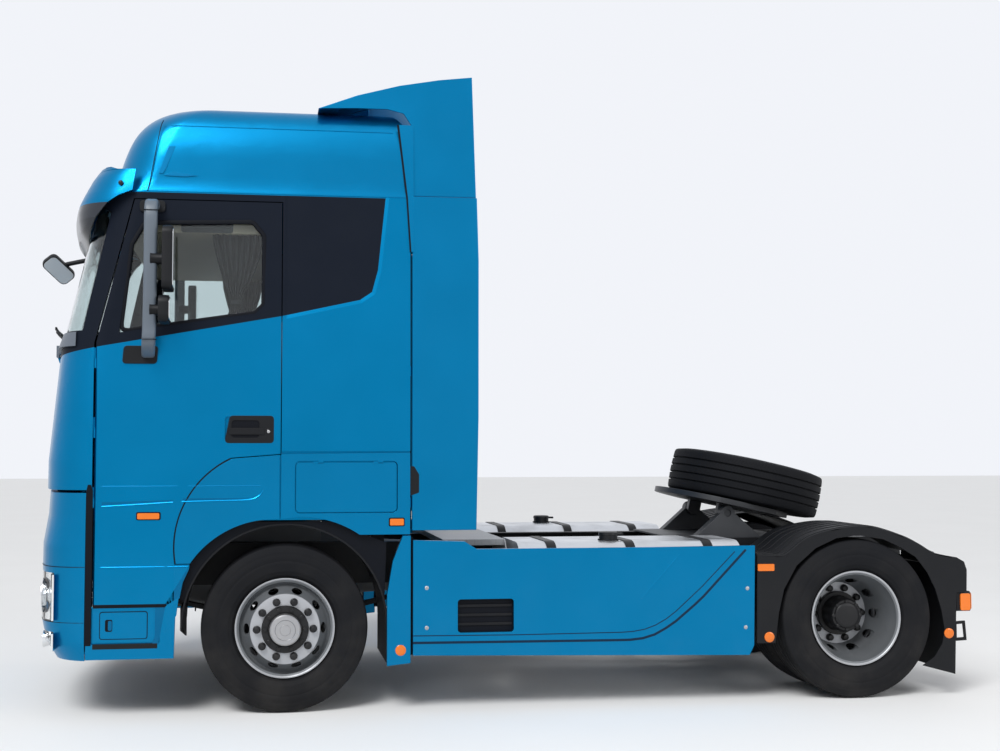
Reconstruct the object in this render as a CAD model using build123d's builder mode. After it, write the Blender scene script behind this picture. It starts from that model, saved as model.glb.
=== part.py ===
from build123d import *
import math
import os

# Semi truck tractor unit, cab over the engine, one steered axle and one twin-tyred axle.
# +X runs to the rear, +Y to the truck's right side, +Z up from the road.
# Side outlines are written as (distance behind the front axle, height above the road).

# Main sizes
FRONT_AXLE_X = -1324.5
WHEELBASE = 3600.0
BODY_HALF = 1245.0
CAB_REAR = 745.0
FLOOR_Z = 1150.0
FLOOR_T = 60.0
BAND_Z = 3110.0
ROOF_Z = 3660.0
GAP = 6.0
SEAT_GAP = 0.3

# Plan shape of the nose
NOSE_R = 5000.0
CORNER_R = 280.0

# Walls
CAB_WALL = 50.0
DOOR_T = 65.0
PANEL_T = 35.0
GLASS_T = 10.0

# Tyres and rims
TYRE_R = 502.0
TYRE_HALF = 157.0
TREAD_HALF = 138.0
BEAD_R = 286.0
RIM_HALF = 130.0
RIM_FLANGE_R = 298.0
RIM_OUTSET = 175.0
DISC_T = 12.0
BORE_R = 140.5
NUT_CIRCLE = 335.0
NUT_COUNT = 10
FRONT_WHEEL_Y = 1030.0
REAR_OUTER_Y = 1088.0
DUAL_SPACING = 2 * RIM_OUTSET

# Chassis
RAIL_OUT = 420.0
RAIL_T = 8.0
RAIL_FLANGE = 75.0
RAIL_TOP = 960.0
RAIL_H = 270.0
RAIL_FRONT = -1050.0
RAIL_REAR = WHEELBASE + 700.0
KINGPIN_Y = 880.0
KINGPIN_R = 22.0
CAB_PIVOT = (-1150.0, 800.0)

# Coupling
COUPLING_X = WHEELBASE - 550.0
COUPLING_Z = 1130.0
COUPLING_TILT = 12.5
COUPLING_TOP = 95.0


def side_plane(y):
    """Plane facing the left side at one y, its sketch in distance behind the axle and height."""
    return Plane(origin=(FRONT_AXLE_X, y, 0), x_dir=(1, 0, 0), z_dir=(0, -1, 0))


def top_plane(z):
    """Level plane at one height, its sketch in distance behind the axle and y."""
    return Plane(origin=(FRONT_AXLE_X, 0, z))


def cross_plane(x):
    """Upright plane across the truck, its sketch in y and height, facing the rear."""
    return Plane(origin=(FRONT_AXLE_X + x, 0, 0), x_dir=(0, 1, 0), z_dir=(1, 0, 0))


def plan_outline(z, front, rear, half_width, corner=CORNER_R):
    """Level section of the cab at one height: a wide nose arc, two corner arcs, straight sides."""
    reach = (half_width - corner) / (1 - corner / NOSE_R)
    lean = math.asin(reach / NOSE_R)
    nose_x = front + NOSE_R - math.sqrt(NOSE_R**2 - reach**2)
    side_x = nose_x + corner * math.cos(lean)
    middle = (lean + math.pi / 2) / 2
    middle_x = side_x - corner * math.cos(middle)
    middle_y = half_width - corner + corner * math.sin(middle)
    with BuildSketch(top_plane(z)) as section:
        with BuildLine():
            ThreePointArc((nose_x, -reach), (front, 0), (nose_x, reach))
            ThreePointArc((nose_x, reach), (middle_x, middle_y), (side_x, half_width))
            Line((side_x, half_width), (rear, half_width))
            Line((rear, half_width), (rear, -half_width))
            Line((rear, -half_width), (side_x, -half_width))
            ThreePointArc((side_x, -half_width), (middle_x, -middle_y), (nose_x, -reach))
        make_face()
    return section.sketch


# Sections of the cab body: height, nose position, half width
CAB_SECTIONS = (
    (640.0, -1508.0, BODY_HALF),
    (1500.0, -1506.0, BODY_HALF),
    (2180.0, -1440.0, BODY_HALF),
    (BAND_Z, -1222.0, BODY_HALF - 17),
)

# Sections of the high roof: height, nose position, rear edge, half width
ROOF_SECTIONS = (
    (BAND_Z, -1222.0, CAB_REAR, BODY_HALF - 17),
    (3400.0, -1065.0, CAB_REAR - 5, BODY_HALF - 27),
    (3550.0, -970.0, CAB_REAR - 30, BODY_HALF - 65),
    (3625.0, -865.0, CAB_REAR - 75, BODY_HALF - 125),
    (ROOF_Z, -740.0, CAB_REAR - 145, BODY_HALF - 215),
)


def cab_solid(inset, rear_inset):
    """Solid of the cab's outer form, drawn in by an inset at nose and sides and one at the rear."""
    with BuildPart() as form:
        for height, nose, half_width in CAB_SECTIONS:
            add(plan_outline(height, nose + inset, CAB_REAR - rear_inset, half_width - inset, CORNER_R - inset))
        loft(ruled=True)
    return form.part


def roof_solid(inset, drop):
    """Solid of the high roof's outer form, drawn in by an inset and lowered at its top."""
    with BuildPart() as form:
        for height, nose, rear, half_width in ROOF_SECTIONS:
            level = height - drop * (height - BAND_Z) / (ROOF_Z - BAND_Z)
            add(plan_outline(level, nose + inset, rear - inset, half_width - inset, CORNER_R - inset))
        loft()
    return form.part


cab_form = cab_solid(0.0, 0.0)
glass_form = cab_solid(GLASS_T, GLASS_T)
door_form = cab_solid(DOOR_T, DOOR_T)
wall_form = cab_solid(CAB_WALL, CAB_WALL)
roof_form = roof_solid(0.0, 0.0)
roof_room = roof_solid(CAB_WALL, CAB_WALL)

# Doors: edge outline in side view with the seam over the wheel arch
DOOR_FRONT = -1115.0
DOOR_REAR = -35.0
DOOR_FOOT = 662.0
DOOR_TOP = 3060.0
DOOR_TOP_FRONT = -905.0
ARCH_FRONT = -650.0
ARCH_LOW = 900.0
ARCH_MID = (-507.0, 1390.0)
ARCH_HIGH = (-330.0, 1522.0)
SILL_REAR = 1545.0
BELT_FRONT = 2200.0


def door_outline(y, grow):
    """Door edge on a side plane, grown outwards by a gap for its opening, and twice that in front."""
    with BuildSketch(side_plane(y)) as edge:
        with BuildLine():
            arch_low = (ARCH_FRONT + grow, ARCH_LOW)
            arch_mid = (ARCH_MID[0] + 0.7 * grow, ARCH_MID[1] - 0.7 * grow)
            arch_high = (ARCH_HIGH[0], ARCH_HIGH[1] - grow)
            foot_rear = (ARCH_FRONT + grow, DOOR_FOOT - grow)
            ThreePointArc(arch_low, arch_mid, arch_high)
            Polyline(arch_high,
                     (DOOR_REAR + grow, SILL_REAR - grow),
                     (DOOR_REAR + grow, DOOR_TOP + grow),
                     (DOOR_TOP_FRONT - grow, DOOR_TOP + grow),
                     (DOOR_FRONT - 2 * grow, BELT_FRONT),
                     (DOOR_FRONT - 2 * grow, DOOR_FOOT - grow),
                     foot_rear,
                     arch_low)
        make_face()
    return edge.sketch


# Window opening in the door
WINDOW = ((-985.0, 2262.0), (-190.0, 2385.0), (-135.0, 2440.0), (-135.0, 2860.0), (-205.0, 2945.0),
          (-850.0, 2925.0), (-925.0, 2790.0))
WINDOW_FROM_SKIN = 30.0
DOOR_DEPTH = 200.0
HINGE_X = DOOR_FRONT - GAP - 0.5
HINGE_Y = BODY_HALF - 13.0
HINGE_R = 5.0
EDGE_CHAMFER = 10.0
HINGE_L = 60.0
HINGE_HEIGHTS = (1230.0, 1640.0, 2050.0)
HANDLE_X = -222.0
HANDLE_Z = 1692.0
HANDLE_L = 284.0
HANDLE_H = 150.0
HANDLE_DEPTH = 35.0

with BuildPart() as door_left:
    extrude(door_outline(DOOR_DEPTH - BODY_HALF - 50.0, 0.0), amount=DOOR_DEPTH)
    add(cab_form, mode=Mode.INTERSECT)
    add(door_form, mode=Mode.SUBTRACT)
    with BuildSketch(side_plane(DOOR_DEPTH - BODY_HALF - 50.0)):
        Polygon(*WINDOW, align=None)
    extrude(amount=DOOR_DEPTH, mode=Mode.SUBTRACT)
    with BuildSketch(side_plane(HANDLE_DEPTH - BODY_HALF)):
        with Locations((HANDLE_X, HANDLE_Z)):
            RectangleRounded(HANDLE_L, HANDLE_H, 20.0)
    extrude(amount=HANDLE_DEPTH, mode=Mode.SUBTRACT)
    with BuildSketch(side_plane(HANDLE_DEPTH - BODY_HALF)):
        with Locations((HANDLE_X, HANDLE_Z)):
            Rectangle(HANDLE_L - 60.0, 44.0)
    extrude(amount=HANDLE_DEPTH - 6.0)
    # Front edge eased, so that it turns past the pillar
    with BuildSketch(top_plane(DOOR_FOOT - 10.0)):
        Polygon((DOOR_FRONT - 20.0, EDGE_CHAMFER + 20.0 - BODY_HALF), (DOOR_FRONT + EDGE_CHAMFER + 20.0, -BODY_HALF - 20.0),
                (DOOR_FRONT - 20.0, -BODY_HALF - 20.0), align=None)
    extrude(amount=BELT_FRONT + 60.0 - DOOR_FOOT, mode=Mode.SUBTRACT)
    for height in HINGE_HEIGHTS:
        with BuildSketch(top_plane(height)):
            with Locations((HINGE_X, -HINGE_Y)):
                Circle(HINGE_R)
                Rectangle(4 * HINGE_R, 1.4 * HINGE_R, align=(Align.MIN, Align.CENTER))
        extrude(amount=HINGE_L)
door_left.part.label = "door_left"

with BuildPart() as door_glass_left:
    with BuildSketch(side_plane(WINDOW_FROM_SKIN + GLASS_T - BODY_HALF)):
        Polygon(*WINDOW, align=None)
    extrude(amount=GLASS_T)
door_glass_left.part.label = "door_glass_left"

# Mirrors on the doors: an upright arm between two mounts, with two heads behind it
ARM_X = -795.0
ARM_Y = BODY_HALF + 175.0
ARM_LOW = 2200.0
ARM_HIGH = 2960.0
ARM_W = 74.0
ARM_D = 46.0
HEAD_Y = BODY_HALF + 180.0
HEAD_W = 230.0
HEAD_T = 72.0
# Heads: centre behind the front axle, low edge, high edge
MIRROR_HEADS = ((-690.0, 2490.0, 2865.0), (-708.0, 2300.0, 2460.0))

with BuildPart() as mirror_left:
    with BuildSketch(top_plane(ARM_LOW)):
        with Locations((ARM_X, -ARM_Y)):
            RectangleRounded(ARM_W, ARM_D, 18.0)
    extrude(amount=ARM_HIGH - ARM_LOW)
    # Feet of the arm on the door: height at the door, height at the arm, way to the middle of the arm
    for root_z, foot_z, way in ((2130.0, ARM_LOW, 1), (3005.0, ARM_HIGH, -1)):
        with BuildSketch(cross_plane(ARM_X - ARM_W / 2)):
            Polygon((20.0 - BODY_HALF, root_z - way * 30.0), (20.0 - BODY_HALF, root_z + way * 34.0),
                    (-ARM_Y + ARM_D / 2, foot_z + way * 50.0), (-ARM_Y, foot_z + way * 60.0),
                    (-ARM_Y - ARM_D / 2, foot_z + way * 20.0), (-ARM_Y - ARM_D / 2, foot_z),
                    (-ARM_Y + ARM_D / 2, foot_z - way * 40.0), align=None)
        extrude(amount=ARM_W)
    for centre_x, low, high in MIRROR_HEADS:
        with BuildSketch(cross_plane(centre_x - HEAD_T / 2)):
            with Locations((-HEAD_Y, (low + high) / 2)):
                RectangleRounded(HEAD_W, high - low, 45.0)
        extrude(amount=HEAD_T)
        with BuildSketch(cross_plane(ARM_X)):
            with Locations((-ARM_Y, (low + high) / 2)):
                Circle(34.0)
        extrude(amount=centre_x - HEAD_T / 2 - ARM_X)
    with BuildSketch(side_plane(-BODY_HALF)):
        with Locations((-860.0, 2128.0)):
            RectangleRounded(205.0, 112.0, 16.0)
    extrude(amount=16.0)
    add(cab_form, mode=Mode.SUBTRACT)
mirror_left.part.label = "mirror_left"

# Cab shell: floor with tunnel, pillars, sides and back
PIVOT_R = 20.0
ARM_IN = 500.0
ARM_T = 60.0
TUNNEL_HALF = 400.0
TUNNEL_Z = 1450.0
TUNNEL_T = 40.0
FIREWALL_X = -1290.0
FIREWALL_T = 40.0
FLAP_HALF = 800.0
FLAP_LOW = 1345.0
FLAP_TOP = 2165.0
FLAP_T = 30.0
NOSE_LOW = 1335.0
WING_REAR = -1160.0
PANEL_TOP = 1557.0
COWL_TOP = 2268.0
SCREEN = ((-1700.0, 2272.0), (-1200.0, 2276.0), (-1045.0, 2990.0), (-1105.0, 3035.0), (-1700.0, 3035.0))
LOCKER = (52.0, 668.0, 1191.0, 1502.0)
LOCKER_DEPTH = 300.0
WIDE = 1400.0
BUNK_LOW = 1560.0
SHELF_T = 20.0
STEP_X = -900.0
STEP_W = 340.0

with BuildPart() as lower_room:
    extrude(plan_outline(FLOOR_Z + FLOOR_T, FIREWALL_X + FIREWALL_T, CAB_REAR - CAB_WALL,
                         BODY_HALF - DOOR_T - GAP, 150.0), amount=COWL_TOP - FLOOR_Z - FLOOR_T)

with BuildPart() as upper_room:
    add(wall_form)
    with BuildSketch(top_plane(0.0)):
        Rectangle(5000.0, 2 * WIDE)
    extrude(amount=COWL_TOP, mode=Mode.SUBTRACT)

with BuildPart() as cab_shell:
    add(cab_form)
    # Left door opening
    extrude(door_outline(DOOR_DEPTH - BODY_HALF - 50.0, GAP), amount=DOOR_DEPTH, mode=Mode.SUBTRACT)
    # The body ends at the floor, and at the nose above the bumper
    with BuildSketch(top_plane(0.0)):
        Rectangle(5000.0, 2 * WIDE)
    extrude(amount=FLOOR_Z, mode=Mode.SUBTRACT)
    with BuildSketch(side_plane(0.0)):
        with Locations((WING_REAR + GAP, NOSE_LOW)):
            Rectangle(1000.0, 1000.0, align=(Align.MAX, Align.MAX))
    extrude(amount=WIDE, both=True, mode=Mode.SUBTRACT)
    add(lower_room.part, mode=Mode.SUBTRACT)
    add(upper_room.part, mode=Mode.SUBTRACT)
    # Engine tunnel
    with BuildSketch(cross_plane(FIREWALL_X)):
        with Locations((0.0, FLOOR_Z)):
            Rectangle(2 * (TUNNEL_HALF + TUNNEL_T), TUNNEL_Z + TUNNEL_T - FLOOR_Z,
                      align=(Align.CENTER, Align.MIN))
    extrude(amount=CAB_REAR - FIREWALL_X)
    with BuildSketch(cross_plane(FIREWALL_X + FIREWALL_T)):
        with Locations((0.0, FLOOR_Z)):
            Rectangle(2 * TUNNEL_HALF, TUNNEL_Z - FLOOR_Z, align=(Align.CENTER, Align.MIN))
    extrude(amount=CAB_REAR - FIREWALL_X, mode=Mode.SUBTRACT)
    # Space behind the front flap
    with BuildSketch(side_plane(0.0)):
        with Locations((FIREWALL_X, NOSE_LOW - GAP)):
            Rectangle(600.0, FLAP_TOP + GAP - NOSE_LOW + GAP, align=(Align.MAX, Align.MIN))
    extrude(amount=FLAP_HALF + GAP, both=True, mode=Mode.SUBTRACT)
    # Windscreen opening
    with BuildSketch(side_plane(0.0)):
        Polygon(*SCREEN, align=None)
    extrude(amount=WIDE, both=True, mode=Mode.SUBTRACT)
    # Side drawn in behind the lower panels
    with BuildSketch(side_plane(PANEL_T - BODY_HALF)):
        with Locations((ARCH_FRONT - 20.0, PANEL_TOP + 4.0)):
            Rectangle(CAB_REAR - ARCH_FRONT + 100.0, 600.0, align=(Align.MIN, Align.MAX))
    extrude(amount=PANEL_T + 10.0, mode=Mode.SUBTRACT)
    # Step well
    with BuildSketch(top_plane(FLOOR_Z)):
        with Locations((STEP_X, -BODY_HALF)):
            Rectangle(STEP_W, 360.0, align=(Align.CENTER, Align.MIN))
    extrude(amount=FLOOR_T, mode=Mode.SUBTRACT)
    # Locker behind its lid
    with BuildSketch(side_plane(LOCKER_DEPTH - BODY_HALF)):
        with Locations(((LOCKER[0] + LOCKER[1]) / 2, (LOCKER[2] + LOCKER[3]) / 2)):
            Rectangle(LOCKER[1] - LOCKER[0] - 40.0, LOCKER[3] - LOCKER[2] - 40.0)
    extrude(amount=LOCKER_DEPTH + 10.0, mode=Mode.SUBTRACT)
    # Front mount arm down to the tilt pin, with its bore
    with BuildSketch(side_plane(-ARM_IN)):
        with Locations((CAB_PIVOT[0], CAB_PIVOT[1] - 50.0)):
            Rectangle(100.0, FLOOR_Z - CAB_PIVOT[1] + 50.0, align=(Align.CENTER, Align.MIN))
    extrude(amount=ARM_T)
    with BuildSketch(side_plane(-ARM_IN)):
        with Locations(CAB_PIVOT):
            Circle(PIVOT_R + 0.1)
    extrude(amount=ARM_T, mode=Mode.SUBTRACT)
    # Hinge knuckles of the pillar, above those of the door
    for height in HINGE_HEIGHTS:
        with BuildSketch(top_plane(height + HINGE_L + SEAT_GAP)):
            with Locations((HINGE_X, -HINGE_Y)):
                Circle(HINGE_R)
                Rectangle(4 * HINGE_R, 1.4 * HINGE_R, align=(Align.MAX, Align.CENTER))
        extrude(amount=HINGE_L)
    # Shelf for the bunk
    with BuildSketch(top_plane(BUNK_LOW - SHELF_T)):
        with Locations((140.0, 0.0)):
            Rectangle(CAB_REAR - CAB_WALL - 140.0, 2 * (BODY_HALF - DOOR_T - GAP), align=(Align.MIN, Align.CENTER))
    extrude(amount=SHELF_T)
    split(bisect_by=Plane.XZ, keep=Keep.TOP)
    mirror(about=Plane.XZ)
cab_shell.part.label = "cab_shell"


with BuildPart() as door_right:
    mirror(door_left.part, about=Plane.XZ)
door_right.part.label = "door_right"

with BuildPart() as door_glass_right:
    mirror(door_glass_left.part, about=Plane.XZ)
door_glass_right.part.label = "door_glass_right"

with BuildPart() as mirror_right:
    mirror(mirror_left.part, about=Plane.XZ)
mirror_right.part.label = "mirror_right"

# Windscreen
with BuildPart() as windscreen:
    add(cab_form)
    add(glass_form, mode=Mode.SUBTRACT)
    with BuildSketch(side_plane(0.0)):
        Polygon(*SCREEN, align=None)
    extrude(amount=WIDE, both=True, mode=Mode.INTERSECT)
windscreen.part.label = "windscreen"

# High roof, a hollow moulding on the cab body
with BuildPart() as high_roof:
    add(roof_form)
    add(roof_room, mode=Mode.SUBTRACT)
high_roof.part.label = "high_roof"

# Front flap with its grille slots, hinged under the cowl
FLAP_HINGE = (-1452.0, 2170.0)
GRILLE_LOW = 1420.0
GRILLE_SLOT = 46.0
GRILLE_PITCH = 92.0
GRILLE_SLOTS = 5
GRILLE_HALF = 620.0
FLAP_HINGE_R = 9.0
FLAP_KNUCKLES = (150.0, 380.0)
FLAP_KNUCKLE_L = 50.0

with BuildPart() as flap_form:
    for height, nose, half_width in CAB_SECTIONS:
        add(plan_outline(height, nose + FLAP_T, CAB_REAR, half_width - FLAP_T, CORNER_R - FLAP_T))
    loft(ruled=True)

with BuildPart() as front_flap:
    add(cab_form)
    add(flap_form.part, mode=Mode.SUBTRACT)
    with BuildSketch(cross_plane(-1700.0)):
        with Locations((0.0, (FLAP_LOW + FLAP_TOP) / 2)):
            Rectangle(2 * FLAP_HALF, FLAP_TOP - FLAP_LOW)
    extrude(amount=600.0, mode=Mode.INTERSECT)
    for slot in range(GRILLE_SLOTS):
        with BuildSketch(cross_plane(-1700.0)):
            with Locations((0.0, GRILLE_LOW + slot * GRILLE_PITCH)):
                for side in (-1, 1):
                    with Locations((side * GRILLE_HALF / 2, 0.0)):
                        Rectangle(GRILLE_HALF - 30.0, GRILLE_SLOT)
        extrude(amount=600.0, mode=Mode.SUBTRACT)
    # Hinge arms at the top edge
    for knuckle_y in FLAP_KNUCKLES:
        for side in (-1, 1):
            with BuildSketch(side_plane(side * knuckle_y)):
                with Locations(FLAP_HINGE):
                    Circle(FLAP_HINGE_R)
                Polygon((FLAP_HINGE[0] - FLAP_HINGE_R, FLAP_HINGE[1]), (FLAP_HINGE[0] + FLAP_HINGE_R, FLAP_HINGE[1]),
                        (FLAP_HINGE[0] + 64.0, 2150.0), (FLAP_HINGE[0] + 64.0, 2120.0),
                        (FLAP_HINGE[0] + 4.0, 2130.0), align=None)
            extrude(amount=side * FLAP_KNUCKLE_L)
front_flap.part.label = "front_flap"

# Bumper with corner wings, lamp openings and a lower air intake
BUMPER_SECTIONS = (
    (340.0, -1445.0, BODY_HALF - 23),
    (440.0, -1508.0, BODY_HALF - 3),
    (560.0, -1532.0, BODY_HALF),
    (1000.0, -1528.0, BODY_HALF),
    (1180.0, -1498.0, BODY_HALF),
    (1318.0, -1490.0, BODY_HALF),
)
BUMPER_T = 40.0
BUMPER_BACK = -900.0
LAMP_BACK = -1345.0
# Lamps: inner edge, outer edge, low edge, high edge
LAMPS = ((BODY_HALF - 605.0, BODY_HALF - 5.0, 565.0, 850.0), (BODY_HALF - 345.0, BODY_HALF - 5.0, 392.0, 505.0))

with BuildPart() as bumper_outer:
    for height, nose, half_width in BUMPER_SECTIONS:
        add(plan_outline(height, nose, BUMPER_BACK, half_width))
    loft(ruled=True)
    with BuildSketch(cross_plane(WING_REAR)):
        Rectangle(2 * WIDE, 4000.0)
    extrude(amount=1000.0, mode=Mode.SUBTRACT)

with BuildPart() as bumper_inner:
    for height, nose, half_width in BUMPER_SECTIONS:
        add(plan_outline(height, nose + BUMPER_T, BUMPER_BACK, half_width - BUMPER_T, CORNER_R - BUMPER_T))
    loft(ruled=True)

with BuildPart() as bumper:
    add(bumper_outer.part)
    add(bumper_inner.part, mode=Mode.SUBTRACT)
    for inner, outer, low, high in LAMPS:
        with BuildSketch(cross_plane(LAMP_BACK)):
            with Locations((-(inner + outer) / 2, (low + high) / 2)):
                RectangleRounded(outer - inner, high - low, 40.0)
        extrude(amount=-400.0, mode=Mode.SUBTRACT)
    with BuildSketch(cross_plane(-1400.0)):
        with Locations((0.0, 1120.0), (0.0, 980.0), (0.0, 690.0), (0.0, 600.0)):
            RectangleRounded(900.0, 60.0, 20.0)
    extrude(amount=-400.0, mode=Mode.SUBTRACT)
    # Brackets back to the mount arms
    with BuildSketch(cross_plane(-1500.0)):
        with Locations((-ARM_IN - ARM_T / 2, CAB_PIVOT[1] + 20.0)):
            Rectangle(ARM_T, 100.0)
    extrude(amount=CAB_PIVOT[0] - 50.0 + 1500.0)
    split(bisect_by=Plane.XZ, keep=Keep.TOP)
    mirror(about=Plane.XZ)
bumper.part.label = "bumper"

with BuildPart() as headlamps:
    for inner, outer, low, high in LAMPS:
        with BuildSketch(cross_plane(LAMP_BACK)):
            with Locations((-(inner + outer) / 2, (low + high) / 2)):
                RectangleRounded(outer - inner, high - low, 40.0)
        extrude(amount=-400.0)
    add(bumper_outer.part, mode=Mode.INTERSECT)
    add(bumper_inner.part, mode=Mode.SUBTRACT)
    mirror(about=Plane.XZ)
headlamps.part.label = "headlamps"

# Cowl below the windscreen, covering the flap's hinge
with BuildPart() as cowl:
    for height, nose in ((FLAP_TOP + 18.0, -1462.0), (COWL_TOP, -1434.0)):
        add(plan_outline(height, nose, CAB_REAR, BODY_HALF))
    loft(ruled=True)
    add(cab_form, mode=Mode.SUBTRACT)
    with BuildSketch(top_plane(FLAP_TOP)):
        with Locations((-1700.0, 0.0)):
            Rectangle(460.0, 2 * WIDE, align=(Align.MIN, Align.CENTER))
    extrude(amount=200.0, mode=Mode.INTERSECT)
    # Knuckles beside those of the flap
    for knuckle_y in FLAP_KNUCKLES:
        for side in (-1, 1):
            with BuildSketch(side_plane(side * (knuckle_y + SEAT_GAP))):
                with Locations(FLAP_HINGE):
                    Circle(FLAP_HINGE_R)
                    Rectangle(2 * FLAP_HINGE_R, 70.0, align=(Align.CENTER, Align.MIN))
            extrude(amount=-side * FLAP_KNUCKLE_L)
    add(cab_form, mode=Mode.SUBTRACT)
cowl.part.label = "cowl"

# Sun visor ahead of the roof, wrapped round the corners: height, nose position, half width
VISOR_SECTIONS = (
    (2970.0, -1385.0, BODY_HALF + 17),
    (3120.0, -1375.0, BODY_HALF + 21),
    (3260.0, -1290.0, BODY_HALF + 17),
    (3370.0, -1150.0, BODY_HALF - 5),
)
VISOR_T = 22.0
VISOR_REAR = -905.0

with BuildPart() as visor_inner:
    for height, nose, half_width in VISOR_SECTIONS:
        add(plan_outline(height, nose + VISOR_T, CAB_REAR, half_width - VISOR_T, CORNER_R - VISOR_T))
    loft(ruled=True)

with BuildPart() as visor_outer:
    for height, nose, half_width in VISOR_SECTIONS:
        add(plan_outline(height, nose, CAB_REAR, half_width))
    loft(ruled=True)

VISOR_BRACKETS = (300.0, 850.0)

with BuildPart() as visor_brackets:
    for bracket_y in VISOR_BRACKETS:
        for side in (-1, 1):
            with BuildSketch(side_plane(side * bracket_y)):
                with Locations((-1200.0, 3200.0)):
                    Rectangle(800.0, 30.0)
            extrude(amount=15.0, both=True)
    add(visor_outer.part, mode=Mode.INTERSECT)

with BuildPart() as sun_visor:
    add(visor_outer.part)
    add(visor_inner.part, mode=Mode.SUBTRACT)
    add(visor_brackets.part)
    add(cab_form, mode=Mode.SUBTRACT)
    add(roof_form, mode=Mode.SUBTRACT)
    with BuildSketch(side_plane(0.0)):
        Polygon((-1500.0, 2900.0), (-1240.0, 2960.0), (-1185.0, 3120.0), (-1040.0, 3205.0),
                (VISOR_REAR, 3160.0), (VISOR_REAR, 3400.0), (-1500.0, 3400.0), align=None)
    extrude(amount=WIDE, both=True, mode=Mode.INTERSECT)
sun_visor.part.label = "sun_visor"

# Roof deflector, open below and at its rear
DEFLECTOR_T = 15.0
DEFLECTOR_HALF = BODY_HALF - 40.0
DEFLECTOR_TOP = ((180.0, 3655.0), (420.0, 3745.0), (680.0, 3815.0), (927.0, 3860.0), (1132.0, 3885.0))
DEFLECTOR_LOW = ((1157.0, 3128.0), (CAB_REAR + 12.0, 3128.0), (CAB_REAR + 12.0, 3560.0),
                 (CAB_REAR - 40.0, 3640.0), (CAB_REAR - 140.0, 3664.0), (420.0, 3664.0))
DEFLECTOR_FEET = (300.0, 800.0)

with BuildPart() as roof_deflector:
    with BuildSketch(side_plane(0.0)):
        Polygon(*DEFLECTOR_TOP, *DEFLECTOR_LOW, align=None)
    extrude(amount=DEFLECTOR_HALF, both=True)
    with BuildSketch(side_plane(0.0)):
        Polygon((300.0, 3655.0), (427.0, 3730.0), (683.0, 3800.0), (929.0, 3845.0), (1200.0, 3878.0),
                (1200.0, 3000.0), (300.0, 3000.0), align=None)
    extrude(amount=DEFLECTOR_HALF - DEFLECTOR_T, both=True, mode=Mode.SUBTRACT)
    for foot_y in DEFLECTOR_FEET:
        with BuildSketch(side_plane(-foot_y)):
            Polygon((330.0, 3600.0), (330.0, 3695.0), (427.0, 3735.0), (520.0, 3765.0), (520.0, 3600.0), align=None)
        extrude(amount=30.0)
        with BuildSketch(side_plane(foot_y)):
            Polygon((330.0, 3600.0), (330.0, 3695.0), (427.0, 3735.0), (520.0, 3765.0), (520.0, 3600.0), align=None)
        extrude(amount=-30.0)
    add(roof_form, mode=Mode.SUBTRACT)
roof_deflector.part.label = "roof_deflector"

# Side fairings behind the cab, with brackets to its rear wall
FAIRING_T = 25.0
FAIRING_IN = BODY_HALF - 35.0
FAIRING = ((CAB_REAR + 12.0, 1082.0), (1153.0, 1082.0), (1167.0, 1769.0), (1169.0, 2729.0), (1158.0, 3122.0),
           (CAB_REAR + 12.0, 3122.0))

with BuildPart() as side_fairings:
    with BuildSketch(side_plane(-FAIRING_IN)):
        Polygon(*FAIRING, align=None)
    extrude(amount=FAIRING_T)
    for bracket_z in (1250.0, 2050.0, 2850.0):
        with BuildSketch(cross_plane(CAB_REAR)):
            with Locations((-FAIRING_IN + 20.0, bracket_z)):
                Rectangle(40.0, 60.0)
        extrude(amount=80.0)
    mirror(about=Plane.XZ)
side_fairings.part.label = "side_fairings"

# Lower side panels: front of the arch, locker panel and step panel
STEP_PANEL = ((-1152.0, 350.0), (-648.0, 350.0), (-640.0, 655.0), (-1152.0, 655.0))
STEP_RECESS = (-928.0, 545.0, 396.0, 214.0)
LID_GAP = 6.0
LID_HINGE_Y = BODY_HALF - 1.0
LID_HINGE_Z = LOCKER[3] - LID_GAP
LID_HINGE_R = 4.5
LID_KNUCKLES = (160.0, 520.0)
LID_KNUCKLE_L = 30.0

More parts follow.
